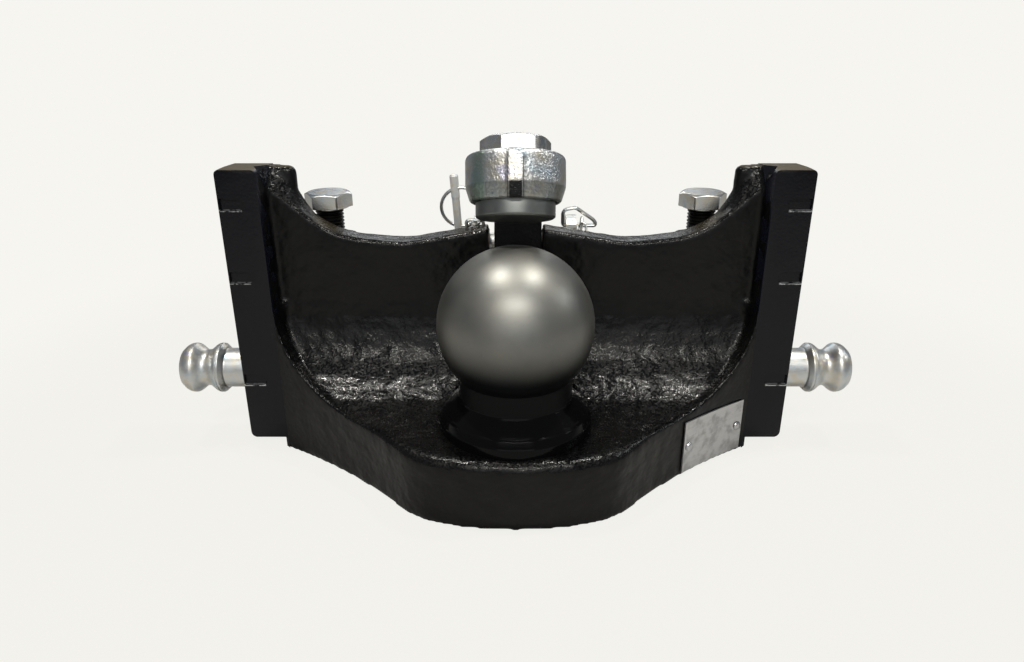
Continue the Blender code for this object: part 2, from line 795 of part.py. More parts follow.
def make_ball_fastening(material):
    inner = BALL_SHANK_RADIUS + PIN_FIT
    low = WASHER_TOP - BALL_WASHER_THICKNESS
    ring = [(inner, WASHER_TOP), (BALL_WASHER_RADIUS, WASHER_TOP), (BALL_WASHER_RADIUS, low), (inner, low)]
    finish("ball_washer", turned("washer", ring, closed=True), material)
    nut_top = low - GAP
    place = along((0, 0, -1), (0, 0, nut_top))
    nut = hexagon("nut", BALL_NUT_ACROSS_FLATS, BALL_NUT_HEIGHT, place)
    bore = cylinder("nut bore", inner, (0, 0, nut_top + STEP), (0, 0, -1), BALL_NUT_HEIGHT + 2 * STEP)
    cut(nut, bore)
    finish("ball_nut", nut, material)


# Hold-down


def hold_down_point(height):
    """A point on the hold-down's axis, that far from the centre of the ball."""
    return HOLD_DOWN_AXIS * height


def nose_profile():
    taper = [(NOSE_RADIUS, NOSE_BOTTOM + NOSE_TAPER), (NOSE_LOWER_RADIUS, NOSE_BOTTOM + NOSE_FOOT_ROUND)]
    for share in (0.4, 0.7, 1.0):
        angle = math.pi / 2 * share
        radius = NOSE_FOOT_RADIUS + (NOSE_LOWER_RADIUS - NOSE_FOOT_RADIUS) * math.cos(angle)
        taper.append((radius, NOSE_BOTTOM + NOSE_FOOT_ROUND * (1 - math.sin(angle))))
    recess = PAD_RADIUS + GAP
    return [
        (0, NOSE_TOP), (NOSE_RADIUS - NOSE_EDGE, NOSE_TOP),
        (NOSE_RADIUS - NOSE_EDGE * 0.3, NOSE_TOP - NOSE_EDGE * 0.3),
        (NOSE_RADIUS, NOSE_TOP - NOSE_EDGE), *taper,
        (recess, NOSE_BOTTOM), (recess, NOSE_BOTTOM + NOSE_RECESS), (0, NOSE_BOTTOM + NOSE_RECESS),
    ]


def lever_outline():
    """The lever from the side: arm along the nose, neck down through the slot, eye and tail."""
    back = Vector((math.cos(HOLD_DOWN_TILT), -math.sin(HOLD_DOWN_TILT)))
    up = Vector((math.sin(HOLD_DOWN_TILT), math.cos(HOLD_DOWN_TILT)))
    arm_top = NOSE_TOP - STEP
    upper = up * arm_top
    lower = up * (arm_top - ARM_HEIGHT)
    elbow_top = upper + back * (NECK_BACK - upper.x) / back.x
    elbow_under = lower + back * (NECK_FRONT - lower.x) / back.x
    eye_back = PIVOT_Y + EYE_RADIUS
    eye_bottom = PIVOT_Z - EYE_RADIUS
    corners = [
        (*upper, 0),
        (*lower, 0),
        (*elbow_under, 0.008),
        (NECK_FRONT, eye_bottom + EYE_RADIUS / 3, 0.008),
        (TAIL_FRONT, TAIL_BOTTOM, 0.003),
        (TAIL_BACK, TAIL_BOTTOM, 0.001),
        (TAIL_BACK, eye_bottom, 0),
        (eye_back, eye_bottom, EYE_RADIUS),
        (eye_back, PIVOT_Z + STEP, 0.010),
        (*elbow_top, 0.014),
    ]
    return rounded_outline(corners)


def make_lever(material):
    nose = turned("nose", nose_profile(), along(HOLD_DOWN_AXIS), steps=44)
    flash = [
        (-NOSE_RADIUS - FLASH_PROUD, NOSE_BOTTOM + NOSE_TAPER),
        (-NOSE_RADIUS - FLASH_PROUD, NOSE_TOP - NOSE_EDGE),
        (-NOSE_FOOT_RADIUS, NOSE_TOP - NOSE_EDGE), (-NOSE_FOOT_RADIUS, NOSE_BOTTOM + GAP),
        (-NOSE_LOWER_RADIUS - FLASH_PROUD, NOSE_BOTTOM + GAP),
    ]
    band = outline_solid("parting band", flash, "X", -FLASH_WIDTH / 2, FLASH_WIDTH / 2)
    band.data.transform(Matrix.Rotation(-HOLD_DOWN_TILT, 4, "X"))
    join(nose, band)
    low = NECK_OFFSET - NECK_WIDTH / 2
    neck = outline_solid("neck", lever_outline(), "X", low, low + NECK_WIDTH)
    join(nose, round_edges(neck, NECK_EDGE, limit=60))
    bolt_bore = HOLD_BOLT_RADIUS + PIN_FIT
    start = hold_down_point(NOSE_BOTTOM - STEP)
    cut(nose, cylinder("hold bore", bolt_bore, start, HOLD_DOWN_AXIS, NOSE_HEIGHT + 2 * STEP))
    pocket = along(HOLD_DOWN_AXIS, hold_down_point(NOSE_TOP - HOLD_BOLT_SINK))
    cut(nose, prism("head pocket", HOLD_BOLT_ACROSS_FLATS + 2 * GAP, HOLD_BOLT_SINK + STEP, pocket))
    eye_start = (low - STEP, PIVOT_Y, PIVOT_Z)
    cut(nose, cylinder("eye bore", BUSH_RADIUS + GAP, eye_start, (1, 0, 0), NECK_WIDTH + 2 * STEP))
    return finish("hold_down_lever", nose, material, (0, PIVOT_Y, PIVOT_Z), angle=30)


def make_lever_bush(material):
    half = NECK_WIDTH / 2 - GAP
    inner = PIVOT_RADIUS + PIN_FIT
    ring = [(inner, half), (BUSH_RADIUS, half), (BUSH_RADIUS, -half), (inner, -half)]
    place = along((1, 0, 0), (NECK_OFFSET, PIVOT_Y, PIVOT_Z))
    finish("lever_bush", turned("bush", ring, place, closed=True), material, (0, PIVOT_Y, PIVOT_Z))


def make_pad_and_shim(pad_material, shim_material):
    bore = HOLD_BOLT_RADIUS + PIN_FIT
    top = PAD_BOTTOM + PAD_HEIGHT
    seat = top - PAD_THREAD_DEPTH
    profile = [
        (0, seat), (bore, seat), (bore, top), (PAD_RADIUS - GAP * 2, top), (PAD_RADIUS, top - GAP * 2),
        (PAD_RADIUS, PAD_BOTTOM + GAP * 3), (PAD_RADIUS - GAP * 3, PAD_BOTTOM), (0, PAD_BOTTOM),
    ]
    pivot = (0, PIVOT_Y, PIVOT_Z)
    finish("hold_down_pad", turned("pad", profile, along(HOLD_DOWN_AXIS), steps=44), pad_material, pivot)
    low = SHIM_BOTTOM
    high = SHIM_BOTTOM + SHIM_THICKNESS
    ring = [(bore, high), (SHIM_RADIUS, high), (SHIM_RADIUS, low), (bore, low)]
    shim = turned("shim", ring, along(HOLD_DOWN_AXIS), closed=True)
    finish("hold_down_shim", shim, shim_material, pivot)


def make_hold_bolt(material):
    under_head = NOSE_TOP - HOLD_BOLT_SINK + GAP
    seat = PAD_BOTTOM + PAD_HEIGHT - PAD_THREAD_DEPTH + GAP
    place = along(HOLD_DOWN_AXIS, hold_down_point(under_head))
    head = hexagon("hold bolt head", HOLD_BOLT_ACROSS_FLATS, HOLD_BOLT_HEAD, place)
    shank_start = hold_down_point(under_head + STEP)
    length = under_head + STEP - seat
    join(head, cylinder("hold bolt shank", HOLD_BOLT_RADIUS, shank_start, -HOLD_DOWN_AXIS, length))
    finish("hold_down_bolt", head, material, (0, PIVOT_Y, PIVOT_Z))


# Pivot pin, its bail, and the linch pin with its ring


def linch_axis():
    return Vector((-math.sin(LINCH_LEAN), 0, math.cos(LINCH_LEAN)))


def linch_point(height):
    """The point at a given Z on the axis of the linch pin."""
    return Vector((LINCH_X, PIVOT_Y, PIVOT_Z)) + linch_axis() * (height - PIVOT_Z) / linch_axis().z


def make_pivot_pin(material):
    length = TAB_START - PIVOT_LEFT_END + STEP
    profile = [
        (0, length), (PIVOT_RADIUS, length), (PIVOT_RADIUS, STEP / 2),
        (PIVOT_RADIUS - STEP / 2, 0), (0, 0),
    ]
    pin = turned("pin", profile, along((1, 0, 0), (PIVOT_LEFT_END, PIVOT_Y, PIVOT_Z)))
    corners = [
        (PIVOT_Y - TAB_RADIUS, PIVOT_Z - TAB_RADIUS, TAB_RADIUS * 0.9),
        (PIVOT_Y + TAB_RADIUS, PIVOT_Z - TAB_RADIUS, TAB_RADIUS * 0.9),
        (PIVOT_Y + TAB_RADIUS, TAB_CENTRE_Z + TAB_RADIUS, TAB_RADIUS * 0.98),
        (PIVOT_Y - TAB_RADIUS, TAB_CENTRE_Z + TAB_RADIUS, TAB_RADIUS * 0.98),
    ]
    join(pin, outline_solid("tab", rounded_outline(corners), "X", TAB_START, TAB_START + TAB_THICKNESS))
    bail_hole_start = (TAB_START - STEP, PIVOT_Y, TAB_CENTRE_Z)
    hole_length = TAB_THICKNESS + 2 * STEP
    bail_hole = cylinder(
        "bail hole", BAIL_WIRE + PIN_FIT, bail_hole_start, (1, 0, 0), hole_length, steps=SMALL_STEPS
    )
    cut(pin, bail_hole)
    cross_start = linch_point(PIVOT_Z - PIVOT_RADIUS - STEP)
    cross_length = 2 * (PIVOT_RADIUS + STEP)
    cross_hole = cylinder(
        "linch hole", LINCH_RADIUS + PIN_FIT, cross_start, linch_axis(), cross_length, steps=SMALL_STEPS
    )
    cut(pin, cross_hole)
    finish("pivot_pin", pin, material, (0, PIVOT_Y, PIVOT_Z))


def make_pin_bail(material):
    """A wire loop whose straight foot lies in the hole of the tab, in the upright plane across X."""
    right = BAIL_LEFT + BAIL_WIDTH
    peak_x = BAIL_LEFT + BAIL_WIDTH * BAIL_PEAK_SHARE
    peak_z = TAB_CENTRE_Z + BAIL_HEIGHT
    corners = [
        (BAIL_LEFT, TAB_CENTRE_Z, BAIL_CORNER * 0.55),
        (right, TAB_CENTRE_Z, BAIL_CORNER * 0.55),
        (right - BAIL_CORNER / 2, TAB_CENTRE_Z + BAIL_HEIGHT * 0.3, BAIL_CORNER * 2),
        (peak_x, peak_z, BAIL_CORNER),
        (BAIL_LEFT, TAB_CENTRE_Z + BAIL_SHOULDER, BAIL_CORNER),
    ]
    points = [(x, PIVOT_Y, z) for x, z in rounded_outline(corners, steps=3)]
    loop = wire("bail", points, BAIL_WIRE, closed=True)
    finish("pin_bail", loop, material, (0, PIVOT_Y, TAB_CENTRE_Z), angle=60)


def ring_matrix():
    """Places the linch ring: it hangs from the hole in the linch pin's head, leaning and swung back."""
    hang = Matrix.Translation(linch_point(RING_HEIGHT))
    lean = Matrix.Rotation(-RING_LEAN, 4, "Y")
    swing = Matrix.Rotation(RING_SWING, 4, "X")
    return hang @ lean @ swing


def ring_hole_cutter():
    """A straight hole along the ring's swing axis, wide enough for the curve of the wire in it."""
    reach = LINCH_HEAD_RADIUS + STEP
    bend = RING_RADIUS - math.sqrt(RING_RADIUS**2 - LINCH_HEAD_RADIUS**2)
    axis = Vector((math.cos(RING_LEAN), 0, math.sin(RING_LEAN)))
    start = linch_point(RING_HEIGHT) - axis * reach
    return cylinder("ring hole", RING_WIRE + bend + GAP, start, axis, 2 * reach, steps=SMALL_STEPS)


def make_linch_pin(material):
    bottom = linch_point(LINCH_BOTTOM)
    length = (LINCH_TOP - LINCH_BOTTOM) / math.cos(LINCH_LEAN)
    neck = length - LINCH_HEAD_LENGTH
    head = LINCH_HEAD_RADIUS
    profile = [
        (0, length), (head * 0.75, length), (head, length - head * 0.4), (head, neck),
        (LINCH_RADIUS, neck - head * 0.5), (LINCH_RADIUS, STEP), (LINCH_RADIUS * 0.6, 0), (0, 0),
    ]
    pin = turned("linch", profile, along(linch_axis(), bottom), steps=SMALL_STEPS)
    cut(pin, ring_hole_cutter())
    finish("linch_pin", pin, material, tuple(linch_point(PIVOT_Z)))


def make_linch_ring(material):
    points = []
    turns = 36
    for index in range(turns):
        angle = 2 * math.pi * index / turns
        spoke = Vector((RING_RADIUS * math.sin(angle), 0, RING_RADIUS * (math.cos(angle) - 1)))
        points.append(tuple(ring_matrix() @ spoke))
    loop = wire("ring", points, RING_WIRE, closed=True)
    finish("linch_ring", loop, material, tuple(linch_point(RING_HEIGHT)), angle=60)


# Chains and their staples


def make_link(name, first, last, side, material):
    """One chain link between the middles of its two round ends, lying in the plane of the side vector."""
    first = Vector(first)
    last = Vector(last)
    forward = (last - first).normalized()
    side = Vector(side)
    side = (side - forward * side.dot(forward)).normalized()
    radius = LINK_INNER_WIDTH / 2 + LINK_WIRE
    points = []
    for end, sign in ((last - forward * radius, 1), (first + forward * radius, -1)):
        for angle in (-90, -60, -30, 0, 30, 60, 90):
            turn = math.radians(angle)
            along_link = forward * math.cos(turn) * sign
            across = side * math.sin(turn) * sign
            points.append(tuple(end + (along_link + across) * radius))
    loop = wire(name, points, LINK_WIRE, closed=True, resolution=1)
    finish(name, loop, material, angle=70)


def left_chain_points():
    """Ends of the two left links: one flat on the wall's top, one sloping down to the ear."""
    rest = wall_top_at(LEFT_STAPLE_X) + GAP + LINK_WIRE
    front = LEFT_STAPLE_Y - STAPLE_WIRE - GAP - LINK_WIRE
    first = Vector((LEFT_STAPLE_X, front, rest))
    second = first + Vector((0, LINK_SPAN, 0))
    fall = rest - (EAR_TOP + GAP + LINK_HALF_WIDTH + LINK_WIRE)
    angle = math.asin(fall / (LINK_SPAN - LINK_HALF_WIDTH - LINK_PULL))
    slope = Vector((0, math.cos(angle), -math.sin(angle)))
    third = second - slope * LINK_PULL
    return first, second, third, third + slope * LINK_SPAN


def right_chain_points():
    """Ends of the two right links: one on the bail's foot, one from it down to the staple."""
    rise = Vector((0, -math.cos(RIGHT_CHAIN_RISE), math.sin(RIGHT_CHAIN_RISE)))
    foot = Vector((RIGHT_CHAIN_X, PIVOT_Y, TAB_CENTRE_Z))
    first = foot - rise * (BAIL_WIRE + GAP + LINK_WIRE)
    second = first + rise * LINK_SPAN
    last_y = RIGHT_STAPLE_Y - STAPLE_WIRE - GAP - LINK_WIRE
    crown = second - rise * LINK_HALF_WIDTH
    drop = LINK_HALF_WIDTH - LINK_PULL
    angle = math.acos((crown.y - last_y) / (LINK_SPAN + drop))
    fall = Vector((0, -math.cos(angle), -math.sin(angle)))
    third = crown + fall * drop
    return first, second, third, third + fall * LINK_SPAN


def wall_top_at(x):
    """The height of the wall's top between its middle and its dip, less the rounded edge."""
    share = min(1.0, abs(x) / WALL_DIP[0])
    return WALL_MIDDLE_TOP + (WALL_DIP[1] - WALL_MIDDLE_TOP) * share


def left_staple_corners():
    rest = wall_top_at(LEFT_STAPLE_X)
    half = LINK_HALF_WIDTH + LINK_WIRE + GAP * 2 + STAPLE_WIRE
    crown = rest + 2 * (GAP + LINK_WIRE) + STAPLE_WIRE
    foot = rest - STAPLE_LEG
    return half, crown, foot


def right_staple_corners():
    middle = right_chain_points()[3].z
    half = LINK_WIRE + GAP * 3 + STAPLE_WIRE
    foot = RAIL_BACK - STAPLE_LEG
    return middle, half, foot


def make_left_staple(material):
    half, crown, foot = left_staple_corners()
    left = LEFT_STAPLE_X - half
    right = LEFT_STAPLE_X + half
    arch = rounded_outline([(left, foot, 0), (left, crown, 0.002), (right, crown, 0.002), (right, foot, 0)], steps=3)
    points = [(x, LEFT_STAPLE_Y, z) for x, z in arch]
    finish("left_chain_staple", wire("left staple", points, STAPLE_WIRE), material, angle=60)


def make_right_staple(material):
    middle, half, foot = right_staple_corners()
    low = middle - half
    high = middle + half
    crown = RIGHT_STAPLE_Y
    arch = rounded_outline([(foot, low, 0), (crown, low, 0.0015), (crown, high, 0.0015), (foot, high, 0)], steps=3)
    points = [(RIGHT_CHAIN_X, y, z) for y, z in arch]
    finish("right_chain_staple", wire("right staple", points, STAPLE_WIRE), material, angle=60)


def staple_holes():
    radius = STAPLE_WIRE + PIN_FIT
    length = STAPLE_LEG + STEP + GAP
    holes = []
    half, crown, foot = left_staple_corners()
    for side in (-1, 1):
        start = (LEFT_STAPLE_X + side * half, LEFT_STAPLE_Y, foot - GAP)
        name = f"left staple hole {side + 2}"
        holes.append(cylinder(name, radius, start, (0, 0, 1), length, steps=12))
    middle, half, foot = right_staple_corners()
    for side in (-1, 1):
        start = (RIGHT_CHAIN_X, foot - GAP, middle + side * half)
        name = f"right staple hole {side + 2}"
        holes.append(cylinder(name, radius, start, (0, 1, 0), length, steps=12))
    return holes


def make_chains(material):
    first, second, third, fourth = left_chain_points()
    make_link("left_chain_link_1", first, second, (1, 0, 0), material)
    make_link("left_chain_link_2", third, fourth, (0, 0, 1), material)
    first, second, third, fourth = right_chain_points()
    make_link("right_chain_link_1", first, second, (0, 0, 1), material)
    make_link("right_chain_link_2", third, fourth, (1, 0, 0), material)


# Side pins


def make_side_pin(name, side, material):
    """A turned locking pin, drawn out by its waisted grip. Heights run outwards from its inner end."""
    shoulder = SIDE_PIN_DEPTH + SIDE_PIN_SHOULDER
    end = shoulder + GRIP_LENGTH
    radius = SIDE_PIN_RADIUS
    crest = shoulder + GRIP_OUTER_CREST
    cap = GRIP_LENGTH - GRIP_OUTER_CREST
    profile = [(0, end)]
    for share in (0.98, 0.8, 0.55, 0.3):
        bulge = math.sqrt(1 - share**2)
        profile.append((GRIP_RADIUS * (0.5 + 0.5 * bulge), crest + cap * share))
    waist_steps = 10
    span = GRIP_OUTER_CREST - GRIP_INNER_CREST - GRIP_GROOVE
    for index in range(waist_steps + 1):
        share = index / waist_steps
        swell = (1 + math.cos(2 * math.pi * share)) / 2
        profile.append((GRIP_WAIST + (GRIP_RADIUS - GRIP_WAIST) * swell, crest - span * share))
    inner = shoulder + GRIP_INNER_CREST
    profile += [
        (GRIP_RADIUS - GRIP_GROOVE, inner + GRIP_GROOVE), (GRIP_RADIUS - GRIP_GROOVE, inner),
        (GRIP_RADIUS, inner - GRIP_GROOVE / 2),
        (radius + (GRIP_RADIUS - radius) * 0.8, shoulder + GRIP_INNER_CREST * 0.4),
        (radius + (GRIP_RADIUS - radius) * 0.35, shoulder + GRIP_INNER_CREST * 0.1),
        (radius, shoulder), (radius, STEP), (radius - STEP / 2, 0), (0, 0),
    ]
    start = (side * (RAIL_OUTER - SIDE_PIN_DEPTH), SIDE_PIN_Y, SIDE_PIN_Z)
    pin = turned(name, profile, along((side, 0, 0), start))
    finish(name, pin, material, (side * RAIL_OUTER, SIDE_PIN_Y, SIDE_PIN_Z), angle=50)


# Clamp bolts


def make_clamp_bolt(name, side, material):
    under_head = Vector((side * CLAMP_X, CLAMP_Y, LUG_TOP + CLAMP_STANDOFF))
    place = Matrix.Translation(under_head)
    head = hexagon(f"{name} head", CLAMP_ACROSS_FLATS, CLAMP_HEAD, place)
    length = STEP + CLAMP_STANDOFF + CLAMP_DEPTH
    shank_start = under_head + Vector((0, 0, STEP))
    join(head, cylinder(f"{name} shank", CLAMP_RADIUS, shank_start, (0, 0, -1), length))
    finish(name, head, material, tuple(under_head))


# Type plate and its rivets


def flank_normal(x):
    """The outward direction of the shelf's right flank at a given X."""
    start = Vector((SHELF_CORNER_X, shelf_corner_y()))
    centre = flank_centre(start, Vector((RAIL_INNER, RAIL_FRONT)))
    inward = Vector((x, shelf_flank(x))) - centre
    return Vector((-inward.x, -inward.y, 0)).normalized()


def flank_point(x, offset, height):
    return Vector((x, shelf_flank(x), height)) + flank_normal(x) * offset


def rivet_places():
    middle = (PLATE_TOP + PLATE_BOTTOM) / 2
    return [(PLATE_START + RIVET_INSET, middle), (PLATE_END - RIVET_INSET, middle)]


def make_type_plate(material):
    """A blank plate that follows the flank, with a hole for each rivet."""
    steps = 5
    near = []
    far = []
    for index in range(steps + 1):
        x = PLATE_START + (PLATE_END - PLATE_START) * index / steps
        near.append(tuple(flank_point(x, GAP * 2, 0))[:2])
        far.append(tuple(flank_point(x, GAP * 2 + PLATE_THICKNESS, 0))[:2])
    plate = outline_solid("plate", near + far[::-1], "Z", PLATE_BOTTOM, PLATE_TOP)
    for index, (x, height) in enumerate(rivet_places()):
        start = flank_point(x, -STEP, height)
        name = f"plate hole {index + 1}"
        radius = RIVET_SHANK_RADIUS + PIN_FIT
        cut(plate, cylinder(name, radius, start, flank_normal(x), 3 * STEP, steps=16))
    finish("type_plate", plate, material)


def rivet_holes():
    holes = []
    for index, (x, height) in enumerate(rivet_places()):
        start = flank_point(x, STEP, height)
        name = f"rivet hole {index + 1}"
        length = STEP + RIVET_SHANK_LENGTH
        radius = RIVET_SHANK_RADIUS + PIN_FIT
        holes.append(cylinder(name, radius, start, -flank_normal(x), length, steps=16))
    return holes


def make_rivets(material):
    seat = GAP * 3 + PLATE_THICKNESS
    for index, (x, height) in enumerate(rivet_places()):
        head = RIVET_HEAD_RADIUS
        profile = [
            (0, RIVET_HEAD_HEIGHT), (head * 0.5, RIVET_HEAD_HEIGHT * 0.85),
            (head * 0.87, RIVET_HEAD_HEIGHT * 0.5), (head, 0), (RIVET_SHANK_RADIUS, 0),
            (RIVET_SHANK_RADIUS, -RIVET_SHANK_LENGTH), (0, -RIVET_SHANK_LENGTH),
        ]
        place = along(flank_normal(x), flank_point(x, seat, height))
        name = f"plate_rivet_{index + 1}"
        finish(name, turned(name, profile, place, steps=16), material)


# Assembly


def hold_all_in_one_frame():
    """One empty carries every piece, so that the model stands on the middle of its own footprint."""
    frame = bpy.data.objects.new("coupling_frame", None)
    PARTS.objects.link(frame)
    backs = (RAIL_BACK + LUG_DEPTH, PIVOT_Y + EYE_RADIUS, EAR_BACK)
    middle = (SHELF_FRONT + max(backs)) / 2
    frame.location = (0, -middle, -SHELF_BOTTOM)
    for piece in list(PARTS.objects) + list(CUTTERS.objects):
        if piece is not frame:
            piece.parent = frame


def main():
    black_paint = new_material("black cast paint", (0.012, 0.012, 0.013), 0.0, 0.35)
    dark_steel = new_material("dark satin steel", (0.09, 0.10, 0.10), 0.9, 0.35)
    zinc = new_material("zinc plate", (0.62, 0.63, 0.60), 0.9, 0.35)
    bronze = new_material("bronze", (0.50, 0.32, 0.14), 0.9, 0.4)
    aluminium = new_material("aluminium plate", (0.55, 0.56, 0.57), 0.9, 0.4)
    make_bracket(black_paint)
    make_ball(dark_steel)
    make_ball_fastening(zinc)
    make_lever(zinc)
    make_lever_bush(bronze)
    make_pad_and_shim(dark_steel, dark_steel)
    make_hold_bolt(zinc)
    make_pivot_pin(zinc)
    make_pin_bail(zinc)
    make_linch_pin(zinc)
    make_linch_ring(zinc)
    make_left_staple(zinc)
    make_right_staple(zinc)
    make_chains(zinc)
    make_side_pin("side_pin_left", -1, zinc)
    make_side_pin("side_pin_right", 1, zinc)
    make_clamp_bolt("clamp_bolt_left", -1, zinc)
    make_clamp_bolt("clamp_bolt_right", 1, zinc)
    make_type_plate(aluminium)
    make_rivets(aluminium)
    hold_all_in_one_frame()


main()
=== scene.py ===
# %% [markdown]
# # A tractor ball coupling, dressed for its picture
#
# The coupling is one rough-cast black bracket that slides in the ladder frame of a tractor. A steel ball stands
# on its shelf, and a zinc-plated hold-down with a round foot keeps the trailer's cup on the ball. The solids come
# from the CAD model. This lesson gives them their camera, their light and their finishes, and adds what a solid
# leaves out: the softened skin of the casting, the grain of its sand, and the marks of forging and turning.

# %% The frame

import math

import bmesh
import bpy
import numpy as np
from mathutils import Matrix, Vector


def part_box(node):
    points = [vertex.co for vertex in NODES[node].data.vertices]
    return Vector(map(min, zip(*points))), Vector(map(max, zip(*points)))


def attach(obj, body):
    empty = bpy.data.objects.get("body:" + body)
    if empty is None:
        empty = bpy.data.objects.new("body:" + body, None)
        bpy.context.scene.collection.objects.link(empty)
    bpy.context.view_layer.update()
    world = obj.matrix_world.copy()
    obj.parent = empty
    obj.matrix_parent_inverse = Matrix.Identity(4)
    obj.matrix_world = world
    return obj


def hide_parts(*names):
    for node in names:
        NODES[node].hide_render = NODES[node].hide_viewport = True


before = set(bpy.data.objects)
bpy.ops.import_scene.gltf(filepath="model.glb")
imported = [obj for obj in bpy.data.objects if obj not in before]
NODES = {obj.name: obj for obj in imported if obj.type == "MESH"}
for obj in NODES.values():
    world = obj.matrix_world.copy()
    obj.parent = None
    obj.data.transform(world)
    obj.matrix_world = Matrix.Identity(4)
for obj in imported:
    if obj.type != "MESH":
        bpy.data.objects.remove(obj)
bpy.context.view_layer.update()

# %% [markdown]
# ## Where things are
#
# All places are easiest to say from the centre of the ball, because every other piece is set round it. The ball is
# 80 mm across, so its centre is 40 mm under the highest point of its node.

# %% Centre of the ball

BALL_RADIUS = 0.040
ball_low, ball_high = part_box("coupling_ball")
BALL_CENTRE = Vector(((ball_low.x + ball_high.x) / 2, (ball_low.y + ball_high.y) / 2, ball_high.z - BALL_RADIUS))
print("centre of the ball:", [round(value, 4) for value in BALL_CENTRE])


def at(x, y, z):
    """A place given from the centre of the ball."""
    return BALL_CENTRE + Vector((x, y, z))


# %% [markdown]
# ## The camera
#
# The picture was taken from the front, a little above the coupling. The two rails lean towards each other at the
# bottom, which a camera that looks down always shows. The size of that lean gives the angle, and the known sizes
# of ball and rails give the distance. The camera is made first, because every other choice is judged through it.

# %% Camera

PICTURE_WIDTH = 1024
SENSOR_WIDTH = 36.0
FOCAL_PIXELS = 760.0
LOOKING_DOWN = math.radians(22)
CAMERA_PLACE = (0.0, -0.3824, 0.2330)
PICTURE_CENTRE_OFFSET = -3.6

camera_data = bpy.data.cameras.new("camera")
camera_data.sensor_width = SENSOR_WIDTH
camera_data.lens = FOCAL_PIXELS / PICTURE_WIDTH * SENSOR_WIDTH
camera_data.shift_x = PICTURE_CENTRE_OFFSET / PICTURE_WIDTH
camera_data.clip_start = 0.01
camera = bpy.data.objects.new("camera", camera_data)
camera.location = CAMERA_PLACE
camera.rotation_euler = (math.radians(90) - LOOKING_DOWN, 0, 0)
bpy.context.scene.collection.objects.link(camera)
bpy.context.scene.camera = camera
print("lens in mm:", round(camera_data.lens, 2))

# %% [markdown]
# ## Writing finishes as sums
#
# A finish is a graph of shader nodes. Wired by hand it takes a page, so a small class wraps a node's output and
# lets Python's own signs add the Math nodes. `1 - grain * 0.4` then reads as what it does.

# %% The socket class


class Wire:
    """One output of a node. Arithmetic on it adds Math nodes."""

    def __init__(self, finish, socket):
        self.finish = finish
        self.socket = socket

    def sum_with(self, operation, first, second):
        return self.finish.node("ShaderNodeMath", {"operation": operation}, {0: first, 1: second})

    def __add__(self, other):
        return self.sum_with("ADD", self, other)

    def __radd__(self, other):
        return self.sum_with("ADD", other, self)

    def __sub__(self, other):
        return self.sum_with("SUBTRACT", self, other)

    def __rsub__(self, other):
        return self.sum_with("SUBTRACT", other, self)

    def __mul__(self, other):
        return self.sum_with("MULTIPLY", self, other)

    def __rmul__(self, other):
        return self.sum_with("MULTIPLY", other, self)

    def __abs__(self):
        return self.sum_with("ABSOLUTE", self, 0.0)

    def larger(self, other):
        return self.sum_with("MAXIMUM", self, other)


# %% The finish class


